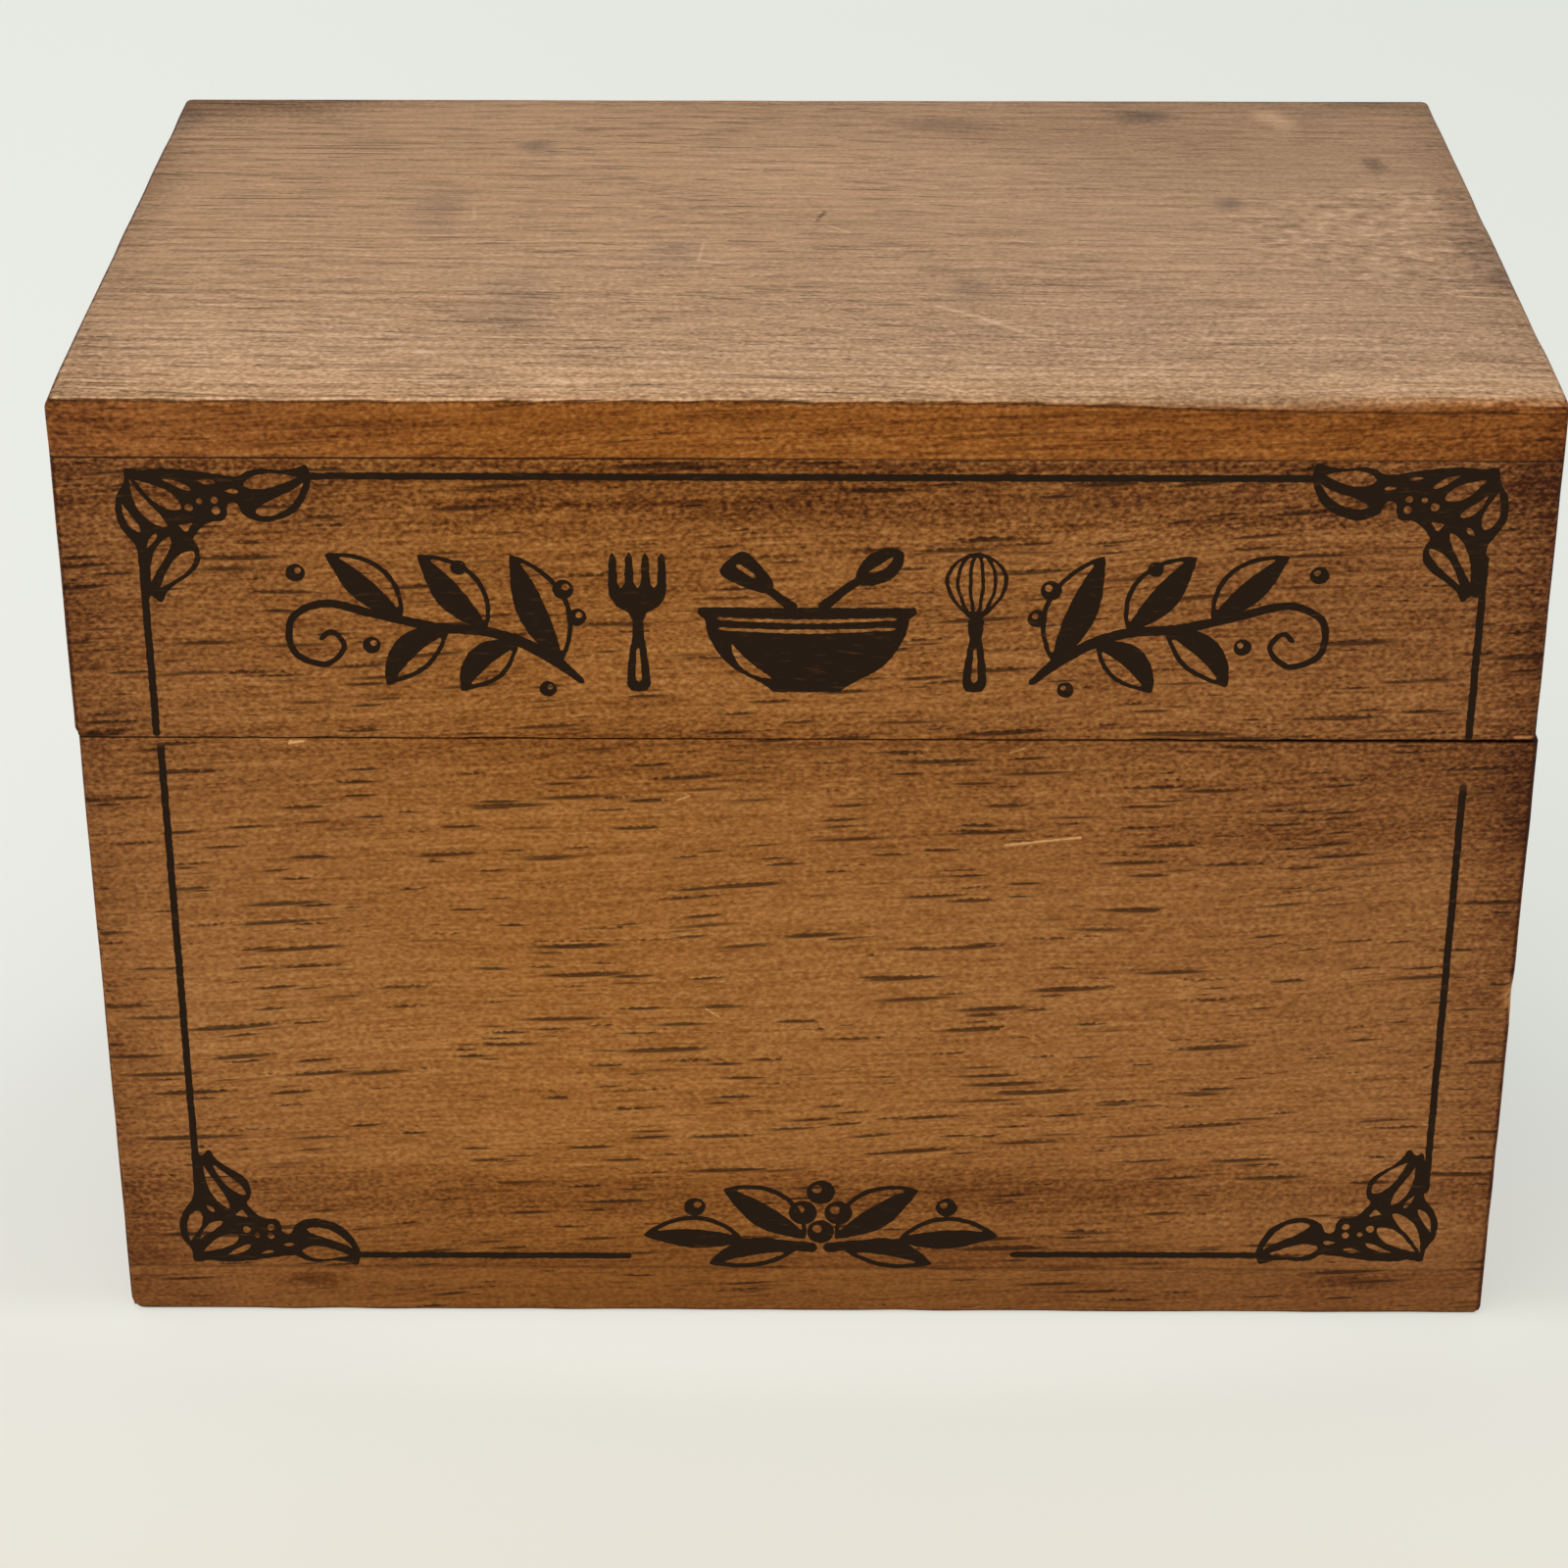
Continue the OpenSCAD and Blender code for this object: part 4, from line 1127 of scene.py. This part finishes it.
def spatula():
    """A wooden spatula that leans out of the bowl to the left."""
    blade = np.array([(-4.4, 3.3), (-3.3, 4.4), (-5.4, 7.2), (-6.6, 7.6), (-8.4, 6.0), (-7.9, 4.8)])
    slot = stroke([(-5.0, 4.9), (-6.9, 6.3)], (0.4, 0.5))
    return [(stroke([(-1.0, 1.4), (-2.6, 2.7), (-4.4, 4.2)], (1.2, 0.9, 0.9)), []), (smooth(blade), [slot])]


def leaning_spoon():
    """A wooden spoon that leans out of the bowl the other way."""
    return [(stroke([(1.2, 1.4), (3.2, 3.2), (5.4, 4.9)], (1.2, 0.9, 0.9)), []),
            (petal((4.7, 4.3), (9.4, 7.7), 3.3, 0.0, 1.1, 0.62),
             [petal((6.0, 5.5), (8.4, 7.2), 0.6, -0.25, 1, 0.8)])]


def fork():
    """A table fork with four tines, drawn as the right half of its outline and mirrored."""
    head = [(0.9, 1.1), (2.1, 1.8), (2.75, 2.9), (2.85, 4.2), (2.75, 7.0), (2.4, 7.6), (2.05, 7.0), (1.95, 4.3),
            (1.6, 3.7), (1.25, 4.3), (1.15, 7.0), (0.8, 7.6), (0.45, 7.0), (0.35, 4.3), (0, 3.7)]
    return [(mirrored(HANDLE_HALF + head), [stroke([(0, -6.5), (0, -2.6)], (0.7, 0.3))])]


def scroll():
    """A leafy scroll that runs from near the fork out to a curl, with berries between its leaves."""
    stem = stroke([(22.0, -6.6), (25.5, -3.6), (30.5, -1.2), (36.5, -0.5), (42.5, 0.9), (47.2, 2.0), (50.6, 0.4),
                   (50.6, -3.2), (47.6, -4.6), (45.6, -2.7), (46.8, -1.0), (48.0, -2.0)],
                  (0.6, 1.25, 1.1, 1.0, 1.0, 0.95, 0.9, 0.8, 0.7, 0.65, 0.55, 0.5))
    leaves = [leaf(*spec, open_sides=(side,)) for side, spec in (
        (1, ((24.4, -4.4), (29.0, 7.3), 5.2, 0.8)), (-1, ((28.4, -2.2), (34.2, -7.5), 4.2, 0.5)),
        (1, ((31.6, -0.9), (38.0, 7.2), 4.9, 0.7)), (-1, ((35.2, -0.7), (41.6, -6.9), 4.2, 0.6)),
        (1, ((39.8, 0.3), (47.0, 7.3), 4.4, 0.7)))]
    berries = [berry(*spec) for spec in (((23.9, 3.6), 1.05), ((22.6, 0.6), 0.95), ((25.6, -7.2), 0.85),
                                         ((50.0, 5.3), 0.95), ((42.9, -2.5), 0.9), ((34.0, 5.9), 0.8))]
    return [(stem, []), *leaves, *berries]


# %% [markdown]
# ## The garland
#
# The lower line of the border stops short in the middle, and a small garland fills the gap: leaves
# to each side of a cluster of berries.

# %% The garland
GARLAND_X, GARLAND_Z = 1.55, 10.2


def garland():
    """Two mirrored branches of leaves, with a cluster of berries between them."""
    half = [leaf(*spec, rim=0.55, open_sides=(side,)) for side, spec in (
        (1, ((1.6, -0.6), (10.4, 5.6), 5.0, 0.8)), (-1, ((2.4, -2.0), (12.0, -3.9), 3.7, 0.5)),
        (1, ((8.2, -0.9), (19.0, -0.3), 4.1, 0.8)))]
    half += [(stroke([(0.3, -1.8), (5.0, -1.3), (10.5, -0.9)], (1.3, 1.1, 0.8)), []), berry((13.4, 3.4), 1.15)]
    middle = [berry((0, 5.3), 1.5), berry((-1.9, 2.7), 1.5), berry((1.9, 2.7), 1.5), berry((0, 0.3), 1.45)]
    return half + moved(half, 0, 0, mirror=-1) + middle


# %% [markdown]
# ## Printing ink
#
# Old printing ink on open-pored wood is a dull brown black. It covers the flats and thins out over
# the pores and where hands rub, so brown shows through in short streaks along the grain.

# %% Ink finish
RUBBED_INK = (((65.7, FRONT_Y, 66.4), (3.0, 3.0, 2.6)), ((-64.8, FRONT_Y, 69.0), (3.0, 3.0, 0.7)))


def printing_ink():
    """Brown black ink, worn to the stain under it where a streaky noise is high."""
    material, tree = new_material("printing_ink")
    at_m = node(tree, "TexCoord").node.outputs["Object"]
    streaks = node(tree, "VectorMath", {0: at_m, 1: (1 / (2.5 * MM), 1 / (0.4 * MM), 1 / (0.4 * MM))},
                   operation="MULTIPLY")
    thin = node(tree, "TexNoise", {"Vector": streaks, "Scale": 1.0, "Detail": 4.0, "Roughness": 0.65})
    worn = node(tree, "MapRange", {"Value": thin, "From Min": 0.6, "From Max": 0.76, "To Max": 0.75})
    for centre_mm, half_mm in RUBBED_INK:
        scale = tuple(1 / (h * MM) for h in half_mm)
        start = tuple(-c / h for c, h in zip(centre_mm, half_mm))
        scaled = node(tree, "VectorMath", (at_m, scale, start), operation="MULTIPLY_ADD")
        reach = node(tree, "VectorMath", (scaled,), operation="LENGTH")
        reach = node(tree, "Math", (thin, 1.2, reach), operation="MULTIPLY_ADD")
        rubbed = node(tree, "MapRange", (reach, 1.1, 1.7, 0.92, 0.0))
        worn = node(tree, "Math", (worn, rubbed), operation="MAXIMUM")
    colour = node(tree, "Mix", {"Factor_Float": worn, "A_Color": hex_colour("#24170A"),
                                "B_Color": hex_colour("#53331A")}, data_type="RGBA")
    relief = node(tree, "Math", {0: thin, 1: 0.03}, operation="MULTIPLY")
    bump = node(tree, "Bump", {"Height": relief, "Distance": MM, "Strength": 1.0})
    shader = node(tree, "BsdfPrincipled", {
        "Base Color": colour, "Roughness": 0.65, "Normal": bump, "Specular IOR Level": 0.08})
    node(tree, "OutputMaterial", {"Surface": shader})
    return material


# %% Print the lid and the base
ink = printing_ink()
left_end_z, right_end_z = BASE_RIM_Z - 0.4, BASE_RIM_Z - 4.6
(lid_left, lid_right), (base_left, base_right) = LINE_X["lid"], LINE_X["base"]
lid_shapes = [
    corner_shape(-64.35, 97.55, 1, -1, SLIM_PETALS), corner_shape(65.4, 98.0, -1, -1, ROUND_PETALS),
    border_line((lid_left + LEAF_REACH_U, TOP_LINE_Z), (lid_right - LEAF_REACH_U, TOP_LINE_Z)),
    border_line((lid_left, TOP_LINE_Z - LEAF_REACH_V), (lid_left, LID_RIM_Z)),
    border_line((lid_right, TOP_LINE_Z - LEAF_REACH_V), (lid_right, LID_RIM_Z)),
    *moved(mixing_bowl() + spatula() + leaning_spoon(), FRIEZE_X, FRIEZE_Z),
    *moved(fork(), FRIEZE_X - 16.6, FRIEZE_Z), *moved(whisk(), FRIEZE_X + 16.6, FRIEZE_Z),
    *moved(scroll(), FRIEZE_X, FRIEZE_Z), *moved(scroll(), FRIEZE_X, FRIEZE_Z, mirror=-1),
]
base_shapes = [
    corner_shape(-64.4, 7.3, 1, 1, ROUND_PETALS), corner_shape(64.8, 7.85, -1, 1, SLIM_PETALS),
    border_line((base_left + LEAF_REACH_U, LEFT_LINE_Z), (GAP_LEFT_X, LEFT_LINE_Z)),
    border_line((GAP_RIGHT_X, RIGHT_LINE_Z), (base_right - LEAF_REACH_U, RIGHT_LINE_Z)),
    border_line((base_left, LEFT_LINE_Z + LEAF_REACH_V), (base_left, left_end_z)),
    border_line((base_right, RIGHT_LINE_Z + LEAF_REACH_V), (base_right, right_end_z)),
    *moved(garland(), GARLAND_X, GARLAND_Z),
]
for part, shapes in (("lid", lid_shapes), ("base", base_shapes)):
    points, faces = film(shapes, part)
    mesh_object(f"{part}_print", points, faces, ink, part)
    print(f"{part}_print: {len(shapes)} shapes, {len(faces)} triangles")

# %% [markdown]
# ## Hinges
#
# Cheap butt hinges are stamped from thin brass strip and hold steel pins. Old brass is brown in its
# hollows and brighter where it rubs, and its stamped face has a fine brushed grain. The packed
# shapes stay as they are and only take a finish.

# %% Metal finishes
def old_metal(name, bright, dull, roughness):
    """A tarnished metal: a cloudy noise mixes the dull colour into the bright one and roughens it,
    and fine lines 0.08 mm apart give it a brushed grain."""
    material, tree = new_material(name)
    at_m = node(tree, "TexCoord").node.outputs["Object"]
    at = node(tree, "VectorMath", {0: at_m, "Scale": 1 / MM}, operation="SCALE")
    tarnish = node(tree, "TexNoise", {"Vector": at, "Scale": 0.9, "Detail": 5.0, "Roughness": 0.6})
    share = node(tree, "MapRange", {"Value": tarnish, "From Min": 0.38, "From Max": 0.66})
    colour = node(tree, "Mix", {"Factor_Float": share, "A_Color": hex_colour(bright),
                                "B_Color": hex_colour(dull)}, data_type="RGBA")
    rough = node(tree, "MapRange", {"Value": tarnish, "From Min": 0.35, "From Max": 0.7,
                                    "To Min": roughness, "To Max": roughness + 0.22})
    brushed = node(tree, "VectorMath", {0: at, 1: (0.4, 12.0, 12.0)}, operation="MULTIPLY")
    lines = node(tree, "TexNoise", {"Vector": brushed, "Scale": 1.0, "Detail": 2.0})
    relief = node(tree, "Math", {0: lines, 1: 0.008}, operation="MULTIPLY")
    bump = node(tree, "Bump", {"Height": relief, "Distance": MM, "Strength": 1.0})
    shader = node(tree, "BsdfPrincipled", {
        "Base Color": colour, "Metallic": 1.0, "Roughness": rough, "Normal": bump})
    node(tree, "OutputMaterial", {"Surface": shader})
    return material


brass = old_metal("stamped_brass", "#C9A45C", "#7A5A2C", 0.28)
steel = old_metal("drawn_steel", "#B9B4A8", "#6E665A", 0.32)
for name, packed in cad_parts.items():
    if "hinge" in name:
        packed.data.materials.clear()
        packed.data.materials.append(steel if name.endswith("pin") else brass)
